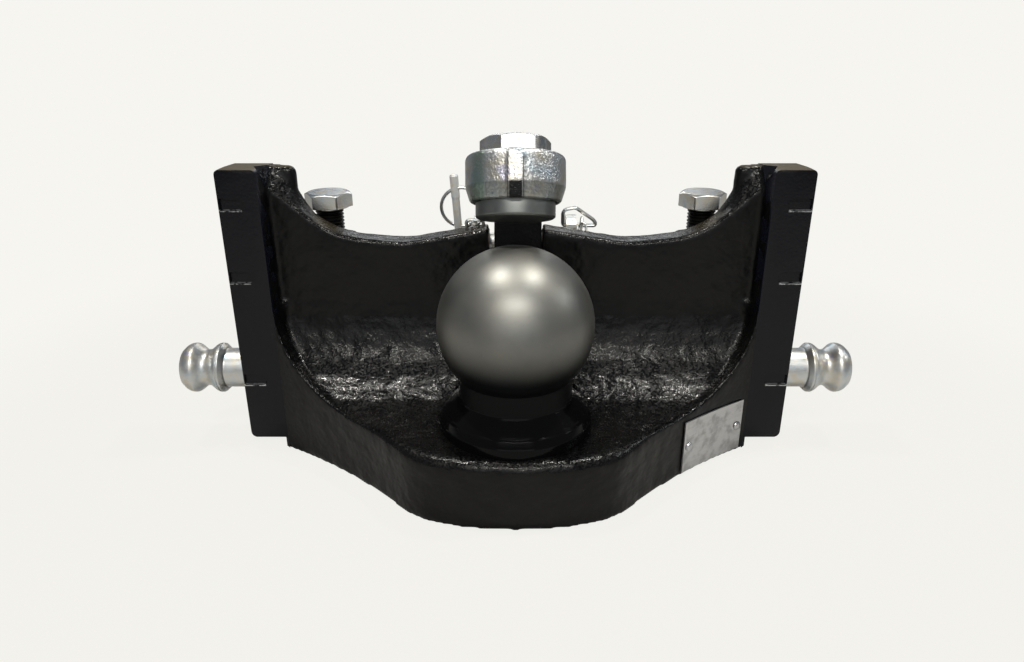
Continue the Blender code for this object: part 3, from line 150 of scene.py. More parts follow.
class Finish:
    """A material with a Principled shader, and short ways to add nodes to it."""

    def __init__(self, name, **constants):
        self.material = bpy.data.materials.new(name)
        self.material.use_nodes = True
        self.tree = self.material.node_tree
        self.shader = self.tree.nodes["Principled BSDF"]
        for socket_name, value in constants.items():
            self.shader.inputs[socket_name.replace("_", " ")].default_value = value
        print("finish:", name)

    def node(self, kind, settings=None, sockets=None, output=0):
        made = self.tree.nodes.new(kind)
        for setting, value in (settings or {}).items():
            if setting == "stops":
                self.set_stops(made.color_ramp, value)
            else:
                setattr(made, setting, value)
        for key, value in (sockets or {}).items():
            self.feed(made.inputs[key], value)
        return Wire(self, made.outputs[output])

    def set_stops(self, ramp, stops):
        while len(ramp.elements) < len(stops):
            ramp.elements.new(0.5)
        for element, (position, colour) in zip(ramp.elements, stops):
            element.position = position
            element.color = (*colour, 1)

    def feed(self, socket, value):
        if isinstance(value, Wire):
            self.tree.links.new(value.socket, socket)
        elif socket.type == "RGBA" and len(value) == 3:
            socket.default_value = (*value, 1)
        else:
            socket.default_value = value

    def drive(self, **links):
        """Feeds the shader's own sockets: Base_Color, Roughness, Metallic, Coat_Weight or Normal."""
        for socket_name, value in links.items():
            self.feed(self.shader.inputs[socket_name.replace("_", " ")], value)
        return self

    def place(self):
        """Where a point lies in the piece, in metres. It rides with the piece."""
        return self.node("ShaderNodeTexCoord", output=3)

    def part_of_place(self, axis):
        return self.node("ShaderNodeSeparateXYZ", {}, {0: self.place()}, output="XYZ".index(axis))

    def facing_up(self):
        """1 where the surface looks up, 0 where it stands upright, -1 where it looks down."""
        normal = self.node("ShaderNodeTexCoord", output=1)
        return self.node("ShaderNodeSeparateXYZ", {}, {0: normal}, output=2)

    def clouds(self, size, detail=3.0, roughness=0.5, place=None):
        """Noise from 0 to 1 whose lumps are about `size` metres across."""
        sockets = {"Vector": place or self.place(), "Scale": 1 / size, "Detail": detail, "Roughness": roughness}
        return self.node("ShaderNodeTexNoise", {}, sockets)

    def stretched(self, factors):
        return self.node("ShaderNodeVectorMath", {"operation": "MULTIPLY"}, {0: self.place(), 1: factors})

    def ramp(self, value, stops):
        return self.node("ShaderNodeValToRGB", {"stops": stops}, {0: value})

    def between(self, value, low, high):
        """0 below low, 1 above high, and a smooth rise from one to the other."""
        settings = {"interpolation_type": "SMOOTHSTEP"}
        return self.node("ShaderNodeMapRange", settings, {"Value": value, "From Min": low, "From Max": high})

    def mix(self, share, first, second):
        """A blend of two colours."""
        return self.node("ShaderNodeMix", {"data_type": "RGBA"}, {0: share, 6: first, 7: second}, output=2)

    def relief(self, height, depth, under=None):
        """A bump whose height runs from 0 to 1 over `depth` metres."""
        sockets = {"Height": height, "Distance": depth, "Strength": 1.0}
        if under:
            sockets["Normal"] = under
        return self.node("ShaderNodeBump", {}, sockets)


# %% [markdown]
# ## Black paint on a rough casting
#
# Sand leaves a steel casting covered with pimples a millimetre across. The gloss paint fills the smallest of them
# and leaves the rest, so that a lamp is seen as a field of sparks and not as one highlight. Bumps alone would have
# to be steep for that and would look like leather. So the same noise also sets the roughness: the tips of the
# grains are smooth and mirror a lamp one by one, and the hollows between them are duller. Upright sides were rammed
# harder in the mould and are smoother, so they stay plain black.

# %% Casting paint

PAINT_SHINE = 0.28
SAND_GRAIN = 0.0013
SAND_RELIEF = 0.00020
WAVE_LENGTH = 0.010
WAVE_RELIEF = 0.0012
UPRIGHT_SHARE = 0.15


def height_over_ball(finish):
    return finish.part_of_place("Z") - BALL_CENTRE.z


def brown_top(paint, low):
    """Where the thin paint on top of rails and blocks looks brown, from a height over the ball."""
    ragged = height_over_ball(paint) + 0.004 * (paint.clouds(0.006) - 0.5)
    return paint.between(paint.facing_up(), 0.70, 0.95) * paint.between(ragged, low, low + 0.012)


def cast_paint():
    paint = Finish("black_cast_paint", Specular_IOR_Level=PAINT_SHINE)
    sand = paint.clouds(SAND_GRAIN, detail=2.0)
    waves = paint.clouds(WAVE_LENGTH, detail=2.0)
    sanded = UPRIGHT_SHARE + (1 - UPRIGHT_SHARE) * paint.between(paint.facing_up(), 0.10, 0.45)
    dry = paint.between(paint.clouds(0.028), 0.42, 0.60)
    tips = paint.between(sand, 0.48, 0.54)
    colour = paint.mix(dry, (0.0012, 0.0012, 0.0014), (0.0030, 0.0029, 0.0028))
    colour = paint.mix(0.8 * brown_top(paint, 0.030), colour, (0.070, 0.058, 0.038))
    normal = paint.relief(sand * sanded, SAND_RELIEF, under=paint.relief(waves, WAVE_RELIEF))
    roughness = 0.33 - 0.19 * tips * sanded + 0.06 * dry
    return paint.drive(Base_Color=colour, Roughness=roughness, Normal=normal).material


CAST_PAINT = cast_paint()

# %% [markdown]
# ## Paint on the machined rails
#
# The rails slide in the tractor's frame, so they were milled flat before they were painted. Their paint is smoother
# and cooler. On the top ends it is thin, and rust and dust give it a brown cast. Along the lower edges of the
# milled notches the paint is chipped and the rim catches the light: both are painted in as a broken line of bright
# steel, partly real wear and partly painted highlight.

# %% Rail paint

NOTCH_EDGES = (0.05015, 0.01015, -0.05095)
NOTCH_EDGE_WIDTH = 0.0007
NOTCH_INNER_END = (0.1428, 0.1436)
NOTCH_BACK = (0.0112, 0.0118)
RAIL_INNER_SIDE = (0.1336, 0.1346)


def rail_paint():
    paint = Finish("black_rail_paint", Specular_IOR_Level=PAINT_SHINE)
    height = height_over_ball(paint)
    # partly chipped paint and partly painted highlight: a bright steel line along the lit lower rim of each notch
    bare = 0.0
    for edge in NOTCH_EDGES:
        bare = (1 - paint.between(abs(height - edge), NOTCH_EDGE_WIDTH * 0.5, NOTCH_EDGE_WIDTH)) + bare
    in_notch = paint.between(abs(paint.part_of_place("X")), *NOTCH_INNER_END)
    in_front = 1 - paint.between(paint.part_of_place("Y"), *NOTCH_BACK)
    bare = bare * in_notch * in_front * paint.between(paint.clouds(0.004, detail=3.0), 0.36, 0.50)
    tint = paint.mix(paint.clouds(0.02), (0.0032, 0.0036, 0.0062), (0.0052, 0.0055, 0.0085))
    outside = paint.between(abs(paint.part_of_place("X")), *RAIL_INNER_SIDE)
    tint = paint.mix(outside, (0.0050, 0.0060, 0.0130), tint)
    tint = paint.mix(brown_top(paint, 0.056), tint, (0.085, 0.070, 0.046))
    colour = paint.mix(bare, tint, (0.55, 0.56, 0.57))
    grain = paint.relief(paint.clouds(0.0013, detail=3.0), 0.00016, under=paint.relief(paint.clouds(0.014), 0.0004))
    roughness = 0.26 + 0.20 * brown_top(paint, 0.056)
    return paint.drive(Base_Color=colour, Metallic=bare, Roughness=roughness, Normal=grain).material


RAIL_PAINT = rail_paint()

# %% [markdown]
# ## Zinc plate
#
# Bolts and pins are plated with zinc and passivated, which leaves a cool silver with faint straw, teal and violet
# clouds. It is a metal, so its colour is that of its reflections. Turned pins show fine rings, while the forged
# lever keeps the fine grain of its scale under the plating.

# %% Zinc

PASSIVATED = (
    (0.28, (0.56, 0.66, 0.72)), (0.40, (0.72, 0.75, 0.76)), (0.52, (0.76, 0.76, 0.74)),
    (0.62, (0.75, 0.71, 0.60)), (0.72, (0.66, 0.64, 0.74)),
)


def zinc(name, grain_size, grain_depth, base_roughness, cloud_size=0.008, metallic=1.0):
    plate = Finish(name, Metallic=metallic)
    colour = plate.ramp(plate.clouds(cloud_size, detail=2.0), PASSIVATED)
    grain = plate.clouds(grain_size, detail=3.0, roughness=0.6)
    dull = plate.between(plate.clouds(cloud_size * 0.6, detail=4.0), 0.45, 0.65)
    normal = plate.relief(grain, grain_depth)
    return plate.drive(Base_Color=colour, Roughness=base_roughness + 0.10 * dull, Normal=normal).material


TURNED_ZINC = zinc("turned_zinc", 0.0010, 0.00006, 0.38)
WIRE_ZINC = zinc("wire_zinc", 0.0006, 0.00002, 0.32, cloud_size=0.003)
BOLT_ZINC = zinc("bolt_zinc", 0.0007, 0.00005, 0.26, cloud_size=0.006)
LINCH_ZINC = zinc("linch_zinc", 0.0005, 0.00003, 0.45, cloud_size=0.005, metallic=0.25)

# %% [markdown]
# The lever is plated too, but its neck stands in deep shade between ball, pad and wall, and that shade is painted in
# as near-black: a mask from the height over the ball, with a ragged border from noise. On the front of the nose
# the taper is painted darker as painted shade, darker still along the two creases of the die and on the band
# between them, and there is a teal stripe from the passivation.

# %% Forged lever

HOLD_DOWN_TILT = math.radians(20)
HOLD_DOWN_AXIS = Vector((0, math.sin(HOLD_DOWN_TILT), math.cos(HOLD_DOWN_TILT)))
NOSE_BOTTOM = 0.0606
TAPER_TOP = NOSE_BOTTOM + 0.0078
BAND_HALF = 0.0037
NOSE_FRONT = (-0.022, -0.014)
TEAL_STRIPE = (-0.0230, -0.0190, -0.0165, -0.0135)


def height_on_axis(finish):
    """How far a point lies along the tilted axis, from the centre of the ball."""
    along_axis = finish.node(
        "ShaderNodeVectorMath", {"operation": "DOT_PRODUCT"}, {0: finish.place(), 1: HOLD_DOWN_AXIS}, output="Value"
    )
    return along_axis - BALL_CENTRE.dot(HOLD_DOWN_AXIS)


def forged_zinc():
    plate = Finish("forged_zinc", Metallic=1.0)
    # painted shade: the neck is painted near-black below the pad, where it stands in deep shade
    ragged = height_over_ball(plate) + 0.012 * (plate.clouds(0.006) - 0.5)
    shaded_neck = 1 - plate.between(ragged, 0.044, 0.050)
    height = height_on_axis(plate)
    sideways = abs(plate.part_of_place("X"))
    in_front = 1 - plate.between(plate.part_of_place("Y"), *NOSE_FRONT)
    # painted shade on the nose: the taper is painted darker, and darker still along the two creases and on the band
    # between them
    taper = 1 - plate.between(height + 0.0012 * (plate.clouds(0.004) - 0.5), TAPER_TOP - 0.0006, TAPER_TOP + 0.0006)
    crease = (1 - plate.between(abs(sideways - BAND_HALF), 0.00015, 0.00040)) * in_front
    band_shade = (1 - plate.between(sideways, BAND_HALF - 0.0009, BAND_HALF - 0.0004)) * taper * in_front
    colour = plate.ramp(plate.clouds(0.011, detail=2.0), PASSIVATED)
    colour = plate.mix(0.62 * taper, colour, (0.20, 0.22, 0.21))
    colour = plate.mix((0.55 * crease).larger(0.98 * band_shade), colour, (0.020, 0.020, 0.021))
    colour = plate.mix(shaded_neck, colour, (0.030, 0.030, 0.031))
    across = plate.part_of_place("X")
    teal = plate.between(across, *TEAL_STRIPE[:2]) * (1 - plate.between(across, *TEAL_STRIPE[2:]))
    colour = plate.mix(0.7 * teal, colour, (0.30, 0.42, 0.36))
    grain = plate.clouds(0.0014, detail=3.0, roughness=0.6)
    normal = plate.relief(grain, 0.00050)
    return plate.drive(Base_Color=colour, Roughness=0.30 + 0.20 * shaded_neck, Normal=normal).material


FORGED_ZINC = forged_zinc()

# %% [markdown]
# ## The ball
#
# The ball is turned steel, dark and satin from use, lighter and warmer where the cup has polished it. The black
# paint of the casting was sprayed up to it: the collar and the foot of the ball are gloss black, and the paint
# ends in a ragged border under the ball's middle. Above that border the bare steel is painted darker towards
# the bottom, up to a little over the middle, as painted shade.

# %% Ball steel


def ball_steel():
    steel = Finish("ball_steel", Specular_IOR_Level=0.12)
    clouds = steel.clouds(0.013, detail=3.0)
    height = height_over_ball(steel) + 0.0016 * (steel.clouds(0.012, detail=2.0) - 0.5)
    painted = 1 - steel.between(height, -0.0215, -0.0200)
    # painted shade: the bare steel is painted darker from a little over the middle down to the paint line
    shaded_lower_ball = 1 - steel.between(height, -0.0200, 0.0100)
    bare = steel.mix(clouds, (0.235, 0.245, 0.245), (0.340, 0.325, 0.285))
    bare = steel.mix(shaded_lower_ball, bare, (0.012, 0.013, 0.014))
    colour = steel.mix(painted, bare, (0.0030, 0.0030, 0.0034))
    sprayed = steel.between(height, -0.0390, -0.0375)
    roughness = (0.40 + 0.10 * clouds) * (1 - painted) + (0.09 + 0.33 * sprayed) * painted
    rings = steel.clouds(0.0005, detail=2.0, place=steel.stretched((0.12, 0.12, 1.0)))
    normal = steel.relief(rings, 0.00002)
    return steel.drive(Base_Color=colour, Metallic=1 - painted, Roughness=roughness, Normal=normal).material


BALL_STEEL = ball_steel()

# %% [markdown]
# ## The smaller metals
#
# The pad is dark hardened steel, rubbed grey. The type plate is brushed aluminium with dull blotches. The bush
# inside the lever is bronze.

# %% Pad, plate and bush


def pad_steel():
    steel = Finish("pad_steel", Metallic=1.0)
    clouds = steel.clouds(0.007, detail=4.0)
    colour = steel.mix(clouds, (0.20, 0.22, 0.22), (0.34, 0.345, 0.32))
    rings = steel.clouds(0.0005, detail=2.0, place=steel.stretched((0.12, 1.0, 1.0)))
    normal = steel.relief(rings, 0.00002)
    return steel.drive(Base_Color=colour, Roughness=0.34 + 0.18 * clouds, Normal=normal).material


def plate_aluminium():
    sheet = Finish("plate_aluminium", Metallic=1.0)
    brushed = sheet.clouds(0.0006, detail=3.0, place=sheet.stretched((0.06, 0.06, 1.0)))
    blotches = sheet.between(sheet.clouds(0.006, detail=4.0), 0.42, 0.66)
    colour = sheet.mix(brushed, (0.55, 0.55, 0.56), (0.72, 0.72, 0.73))
    colour = sheet.mix(0.6 * blotches, colour, (0.36, 0.36, 0.36))
    normal = sheet.relief(brushed, 0.00003)
    return sheet.drive(Base_Color=colour, Roughness=0.32 + 0.20 * blotches, Normal=normal).material


def bronze():
    metal = Finish("bronze", Metallic=1.0)
    colour = metal.mix(metal.clouds(0.005), (0.45, 0.27, 0.12), (0.55, 0.36, 0.17))
    return metal.drive(Base_Color=colour, Roughness=0.35).material


PAD_STEEL = pad_steel()
PLATE_ALUMINIUM = plate_aluminium()
BRONZE = bronze()

# %% Finishes go on the solids that stay

WEARS = {
    "bracket_casting": CAST_PAINT,
    "coupling_ball": BALL_STEEL,
    "hold_down_pad": PAD_STEEL,
    "hold_down_shim": PAD_STEEL,
    "hold_down_lever": FORGED_ZINC,
    "lever_bush": BRONZE,
    "linch_pin": LINCH_ZINC,
    "type_plate": PLATE_ALUMINIUM,
    "plate_rivet_1": PLATE_ALUMINIUM,
    "plate_rivet_2": PLATE_ALUMINIUM,
}
THIN_WIRES = ("pin_bail", "linch_ring", "chain")
for name, solid in NODES.items():
    usual = WIRE_ZINC if any(word in name for word in THIN_WIRES) else TURNED_ZINC
    solid.data.materials.clear()
    solid.data.materials.append(WEARS.get(name, usual))
print("solids with a finish:", len(NODES))

# %% [markdown]
# ## Softening a solid into a casting
#
# A solid from CAD has crisp crests, and a casting has none: its sand mould rounds every edge and leaves slow lumps
# on every face. Beveling a solid with this many cuts is slow and fails in corners. Instead the solid is rebuilt as
# a fine, even skin with a voxel remesh, the skin is relaxed a few times so that crests and corners turn into soft
# fillets, and a cloud texture pushes it in and out by some tenths of a millimetre.

# %% Helpers for skins


def show(name, mesh):
    made = bpy.data.objects.new(name, mesh)
    bpy.context.scene.collection.objects.link(made)
    return made


def welded_copy(node):
    """The node's mesh with its split corners joined and no normals of its own."""
    mesh = NODES[node].data.copy()
    if "custom_normal" in mesh.attributes:
        mesh.attributes.remove(mesh.attributes["custom_normal"])
    welded = bmesh.new()
    welded.from_mesh(mesh)
    bmesh.ops.remove_doubles(welded, verts=welded.verts, dist=0.00001)
    welded.to_mesh(mesh)
    welded.free()
    return mesh


def with_modifiers_applied(made):
    bpy.context.view_layer.update()
    mesh = bpy.data.meshes.new_from_object(made.evaluated_get(bpy.context.evaluated_depsgraph_get()))
    made.modifiers.clear()
    made.data = mesh
    return made


def places_of(mesh):
    """The mesh's points from the centre of the ball, one row each."""
    flat = np.empty(len(mesh.vertices) * 3)
    mesh.vertices.foreach_get("co", flat)
    return flat.reshape(-1, 3) - np.array(BALL_CENTRE)


def weigh(made, name, weights):
    """A vertex group from one weight per point, in twenty steps."""
    group = made.vertex_groups.new(name=name)
    levels = np.round(np.clip(weights, 0, 1) * 20).astype(int)
    for level in np.unique(levels):
        if level > 0:
            group.add(np.nonzero(levels == level)[0].tolist(), level / 20, "REPLACE")


def softened(name, node, voxel, rounds, lumps, lump_size, weigh_places):
    """The node's solid as an even skin, relaxed and made lumpy where its points weigh most."""
    skin = show(name, welded_copy(node))
    remesh = skin.modifiers.new("even skin", "REMESH")
    remesh.mode = "VOXEL"
    remesh.voxel_size = voxel
    with_modifiers_applied(skin)
    weights = weigh_places(places_of(skin.data))
    over_floor = np.clip((places_of(skin.data)[:, 2] + BALL_CENTRE.z) / 0.004, 0.0, 1.0)
    weigh(skin, "soft", weights)
    weigh(skin, "lumpy", weights * over_floor)
    relax = skin.modifiers.new("relaxed", "SMOOTH")
    relax.factor = 0.5
    relax.iterations = rounds
    relax.vertex_group = "soft"
    texture = bpy.data.textures.new(f"{name} lumps", "CLOUDS")
    texture.noise_scale = lump_size
    push = skin.modifiers.new("lumps", "DISPLACE")
    push.texture = texture
    push.texture_coords = "LOCAL"
    push.strength = lumps
    push.vertex_group = "lumpy"
    with_modifiers_applied(skin)
    skin.vertex_groups.clear()
    skin.data.shade_smooth()
    print(name, "has", len(skin.data.polygons), "faces")
    return skin


def dress(piece, finish, body, slot, *nodes):
    """Gives a piece its finish and its body, and hides the nodes that it stands for. The slot is not used."""
    piece.data.materials.clear()
    piece.data.materials.append(finish)
    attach(piece, body)
    if nodes:
        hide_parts(*nodes)
    return piece


# %% [markdown]
# ## The casting and its rails
#
# The shelf, the wall and the lugs are as cast, but the rails were milled, so the bracket is dressed as two pieces.
# The cast part is the softened skin. The rails are cut from the solid itself and keep their crisp bevels and
# notches. The skin runs a little way into the rails and is drawn in there, so that no seam shows.

# %% Cast part

RAIL_INNER = 0.134
SKIN_RUNS_TO = 0.1368
DRAWN_IN = 0.00035


def cast_weights(places):
    """Soft in the middle and firm near the rails."""
    return np.clip((RAIL_INNER - 0.001 - np.abs(places[:, 0])) / 0.010, 0.15, 1.0)


def run_into_rails(skin):
    shape = bmesh.new()
    shape.from_mesh(skin.data)
    shape.normal_update()
    for point in shape.verts:
        if abs(point.co.x) > RAIL_INNER - 0.0002 and abs(point.normal.x) < 0.7:
            point.co -= point.normal * DRAWN_IN
    inside = [point for point in shape.verts if abs(point.co.x) > SKIN_RUNS_TO]
    bmesh.ops.delete(shape, geom=inside, context="VERTS")
    shape.to_mesh(skin.data)
    shape.free()


cast_part = softened("cast_part", "bracket_casting", 0.0013, 7, 0.0006, 0.010, cast_weights)
run_into_rails(cast_part)
dress(cast_part, CAST_PAINT, "bracket", "black_paint", "bracket_casting")

# %% Machined rails


def cut_rails():
    mesh = welded_copy("bracket_casting")
    both = bmesh.new()
    for side in (-1, 1):
        one = bmesh.new()
        one.from_mesh(mesh)
        everything = one.verts[:] + one.edges[:] + one.faces[:]
        bmesh.ops.bisect_plane(
            one, geom=everything, plane_co=(side * (RAIL_INNER - 0.0004), 0, 0), plane_no=(side, 0, 0),
            clear_inner=True,
        )
        half = bpy.data.meshes.new("half")
        one.to_mesh(half)
        one.free()
        both.from_mesh(half)
    rails = bpy.data.meshes.new("machined_rails")
    both.to_mesh(rails)
    both.free()
    rails.shade_smooth()
    rails.set_sharp_from_angle(angle=math.radians(28))
    return show("machined_rails", rails)


machined_rails = dress(cut_rails(), RAIL_PAINT, "bracket", "black_paint", "bracket_casting")
print("rail faces:", len(machined_rails.data.polygons))

# %% [markdown]
# ## Forged lever
#
# The lever is drop-forged: a die squeezes red-hot steel, and a thin band of metal escapes where the two halves
# meet. The solid has that band and the eye. Softening it joins nose, arm and neck with the generous radii that
# hot steel needs.

# %% Lever

LEVER_EYE = (0.080, 0.0185)


def lever_weights(places):
    """Firm round the eye and the head's pocket, soft elsewhere."""
    from_eye = np.hypot(places[:, 1] - LEVER_EYE[0], places[:, 2] - LEVER_EYE[1])
    return np.clip((from_eye - 0.0125) / 0.004, 0.0, 1.0)


forged_lever = softened("forged_lever", "hold_down_lever", 0.0008, 5, 0.00025, 0.006, lever_weights)
dress(forged_lever, FORGED_ZINC, "hold_down", "zinc_plate", "hold_down_lever")

# %% [markdown]
# ## Turned pieces
#
# A lathe makes the ball, the pad and the side pins. Each is a profile of radius and height that is swept round an
# axis. The solid has 30 to 40 flats round it, which a lamp would show, so these pieces get 112 and small rounded
# corners. A bolt head is the same idea with a radius that changes on the way round, so one helper serves both.

# %% Turning helpers

SPOKES = 112


def along(direction, start):
    turn = Vector((0, 0, 1)).rotation_difference(Vector(direction)).to_matrix().to_4x4()
    return Matrix.Translation(start) @ turn


def ring(radius, height):
    return [(radius, height)] * SPOKES


def sweep(shape, rings, place):
    """Joins rings of (radius, height) for every spoke into a skin round the place's own Z axis."""
    made = []
    for points in rings:
        spokes = []
        for index, (radius, height) in enumerate(points):
            angle = 2 * math.pi * index / SPOKES
            point = Vector((radius * math.cos(angle), radius * math.sin(angle), height))
            spokes.append(shape.verts.new(place @ point))
        made.append(spokes)
    for first, second in zip(made, made[1:]):
        for index in range(SPOKES):
            after = (index + 1) % SPOKES
            shape.faces.new((first[index], second[index], second[after], first[after]))


def swept_piece(name, parts, sharp=32):
    """A piece from one or more swept parts, each a list of rings and its place."""
    shape = bmesh.new()
    for rings, place in parts:
        sweep(shape, rings, place)
    bmesh.ops.remove_doubles(shape, verts=shape.verts, dist=0.000002)
    bmesh.ops.recalc_face_normals(shape, faces=shape.faces)
    mesh = bpy.data.meshes.new(name)
    shape.to_mesh(mesh)
    shape.free()
    mesh.shade_smooth()
    mesh.set_sharp_from_angle(angle=math.radians(sharp))
    print(name, "has", len(mesh.polygons), "faces")
    return show(name, mesh)


def rounded_profile(corners, steps=5):
    """Rings through (radius, height, fillet) corners, with each fillet as a short arc."""
    rings = []
    for index, (radius, height, fillet) in enumerate(corners):
        corner = Vector((radius, height))
        if fillet <= 0 or index in (0, len(corners) - 1):
            rings.append(ring(radius, height))
            continue
        before = Vector(corners[index - 1][:2]) - corner
        after = Vector(corners[index + 1][:2]) - corner
        half = before.angle(after) / 2
        reach = min(fillet / math.tan(half), 0.49 * before.length, 0.49 * after.length)
        start = corner + before.normalized() * reach
        end = corner + after.normalized() * reach
        for step in range(steps + 1):
            share = step / steps
            point = start.lerp(corner, share).lerp(corner.lerp(end, share), share)
            rings.append(ring(point.x, point.y))
    return rings


# %% Ball

BALL_NECK = (0.0295, -0.0390)
COLLAR_SEAT = -0.0552
SHANK_END = -0.0900


def ball_rings():
    rings = []
    meet = math.asin(BALL_NECK[0] / BALL_RADIUS)
    steps = 72
    for index in range(steps + 1):
        angle = (math.pi - meet) * index / steps
        rings.append(ring(BALL_RADIUS * math.sin(angle), BALL_RADIUS * math.cos(angle)))
    rings += rounded_profile([
        (BALL_NECK[0] - 0.0003, -0.0300, 0), (BALL_NECK[0], -0.0383, 0.0008),
        (BALL_NECK[0] + 0.0004, -0.0390, 0.0003),
        (0.0368, -0.0449, 0.0003), (0.0373, -0.0456, 0.0003), (0.0385, -0.0463, 0.0008), (0.0397, -0.0497, 0.0005),
        (0.0400, -0.0502, 0.0004), (0.0400, COLLAR_SEAT, 0), (0.0220, COLLAR_SEAT, 0), (0.0220, SHANK_END, 0),
        (0, SHANK_END, 0),
    ])
    return rings


turned_ball = swept_piece("turned_ball", [(ball_rings(), Matrix.Translation(BALL_CENTRE))])
dress(turned_ball, BALL_STEEL, "bracket", "ball_steel", "coupling_ball")

# %% [markdown]
# The pad hangs on an axis that leans back by 20 degrees, like the nose above it. Its corners are rounded where the
# cup would otherwise catch on them, and its underside is very slightly domed.

# %% Pad

PAD_BOTTOM = 0.0527
PAD_TOP = 0.0615
hold_down_place = along(HOLD_DOWN_AXIS, BALL_CENTRE)
pad_corners = [
    (0, PAD_BOTTOM, 0), (0.0150, PAD_BOTTOM + 0.0001, 0.002), (0.0190, PAD_BOTTOM + 0.0003, 0.0006),
    (0.0202, PAD_BOTTOM + 0.0012, 0.0008), (0.0202, PAD_TOP - 0.0004, 0.0004), (0.0196, PAD_TOP, 0.0003),
    (0.0103, PAD_TOP, 0), (0.0103, PAD_TOP - 0.0065, 0), (0, PAD_TOP - 0.0065, 0),
]
turned_pad = swept_piece("turned_pad", [(rounded_profile(pad_corners), hold_down_place)])
dress(turned_pad, PAD_STEEL, "hold_down", "pad_steel", "hold_down_pad")

# %% Side pins

SIDE_PIN_PLACE = (0.0504, -0.047)
SIDE_PIN_INNER_END = 0.1125
SHOULDER = 0.0561
INNER_CREST = SHOULDER + 0.0034
OUTER_CREST = SHOULDER + 0.0190
GRIP_END = SHOULDER + 0.0256


def side_pin_rings():
    """From the inner end outwards: chamfer, shank, flared shoulder, collar, waist and domed head."""
    rings = rounded_profile([
        (0, 0, 0), (0.01045, 0, 0.0003), (0.01145, 0.0012, 0.0005), (0.01145, SHOULDER, 0.0008),
        (0.0125, SHOULDER + 0.0006, 0.0008), (0.0144, INNER_CREST - 0.0008, 0.0008),
        (0.0145, INNER_CREST - 0.0002, 0.0003), (0.0141, INNER_CREST, 0), (0.0141, INNER_CREST + 0.0006, 0),
    ])
    steps = 40
    start = INNER_CREST + 0.0006
    for index in range(steps + 1):
        share = index / steps
        swell = (1 + math.cos(2 * math.pi * share)) / 2
        rings.append(ring(0.0106 + (0.0145 - 0.0106) * swell ** 1.15, start + (OUTER_CREST - start) * share))
    cap = GRIP_END - OUTER_CREST
    for index in range(1, 13):
        share = index / 12
        rings.append(ring(0.0145 - 0.0030 * share ** 2.4, OUTER_CREST + cap * 0.90 * share))
    rings += [ring(0.0112, GRIP_END - 0.0002), ring(0.0107, GRIP_END)]
    rings += [ring(0.0030, GRIP_END), ring(0, GRIP_END - 0.0006)]
    return rings


for body, side in (("left_side_pin", -1), ("right_side_pin", 1)):
    start = at(side * SIDE_PIN_INNER_END, *SIDE_PIN_PLACE)
    pin = swept_piece(f"turned_{body}", [(side_pin_rings(), along((side, 0, 0), start))])
    dress(pin, TURNED_ZINC, body, "zinc_plate", "side_pin_left" if side < 0 else "side_pin_right")

# %% [markdown]
# ## Bolts
#
# A hexagon head is turned before its flats show: the lathe chamfers the top of a round blank, and the flats are
# pressed after that, so each flat ends in a curved edge. Here the radius follows the hexagon round the axis, and
# the chamfer lowers the rim wherever the corner reaches out past the top's circle. The shanks get their threads,
# drawn as rings, because the climb of one turn can't be seen at this size.

# %% Bolt helpers


def hexagon_radius(index, across_flats, turn):
    angle = (2 * math.pi * index / SPOKES - turn) % (math.pi / 3) - math.pi / 6
    return across_flats / 2 / math.cos(angle)


def head_rings(across_flats, low, high, turn=0.0, washer=0.0005):
    """From the underside to the middle of the top."""
    flat = across_flats / 2
    circle = flat * 0.955
    rings = [ring(0, low), ring(flat * 0.96, low), ring(flat * 0.96, low + washer)]
    corners = [hexagon_radius(index, across_flats, turn) for index in range(SPOKES)]
    rims = [high - (corner - circle) * math.tan(math.radians(27)) for corner in corners]
    rings.append([(corner - 0.0003, low + washer) for corner in corners])
    rings.append([(corner, low + washer + 0.0003) for corner in corners])
    rings.append([(corner, rim - 0.0002) for corner, rim in zip(corners, rims)])
    rings.append([(corner - 0.00025, rim + 0.0001) for corner, rim in zip(corners, rims)])
    rings += [ring(circle, high), ring(circle - 0.0004, high), ring(0, high)]
    return rings


def thread_rings(radius, low, high, pitch=0.002, depth=0.0011):
    """A chamfered end and ridges up to a plain neck."""
    rings = [ring(0, low), ring(radius - depth, low)]
    height = low + pitch / 2
    while height < high:
        rings += [
            ring(radius - depth, height), ring(radius, height + pitch * 0.42),
            ring(radius, height + pitch * 0.58), ring(radius - depth, height + pitch * 0.96),
        ]
        height += pitch
    return rings


# %% Clamp bolts

CLAMP_X = 0.1085
CLAMP_Y = 0.0795
UNDER_CLAMP_HEAD = 0.0424
CLAMP_BOTTOM = -0.004
CLAMP_RADIUS = 0.008
CLAMP_ACROSS_FLATS = 0.024
CLAMP_HEAD_HEIGHT = 0.0088


def clamp_bolt_zinc():
    """A plated head over a shank that is dark below the head."""
    plate = Finish("clamp_bolt_zinc", Metallic=1.0)
    dark_below_head = 1 - plate.between(height_over_ball(plate), UNDER_CLAMP_HEAD - 0.0004, UNDER_CLAMP_HEAD)
    colour = plate.mix(dark_below_head, plate.ramp(plate.clouds(0.006, detail=2.0), PASSIVATED), (0.030, 0.030, 0.028))
    normal = plate.relief(plate.clouds(0.0007), 0.00005)
    return plate.drive(Base_Color=colour, Roughness=0.26 + 0.20 * dark_below_head, Normal=normal).material


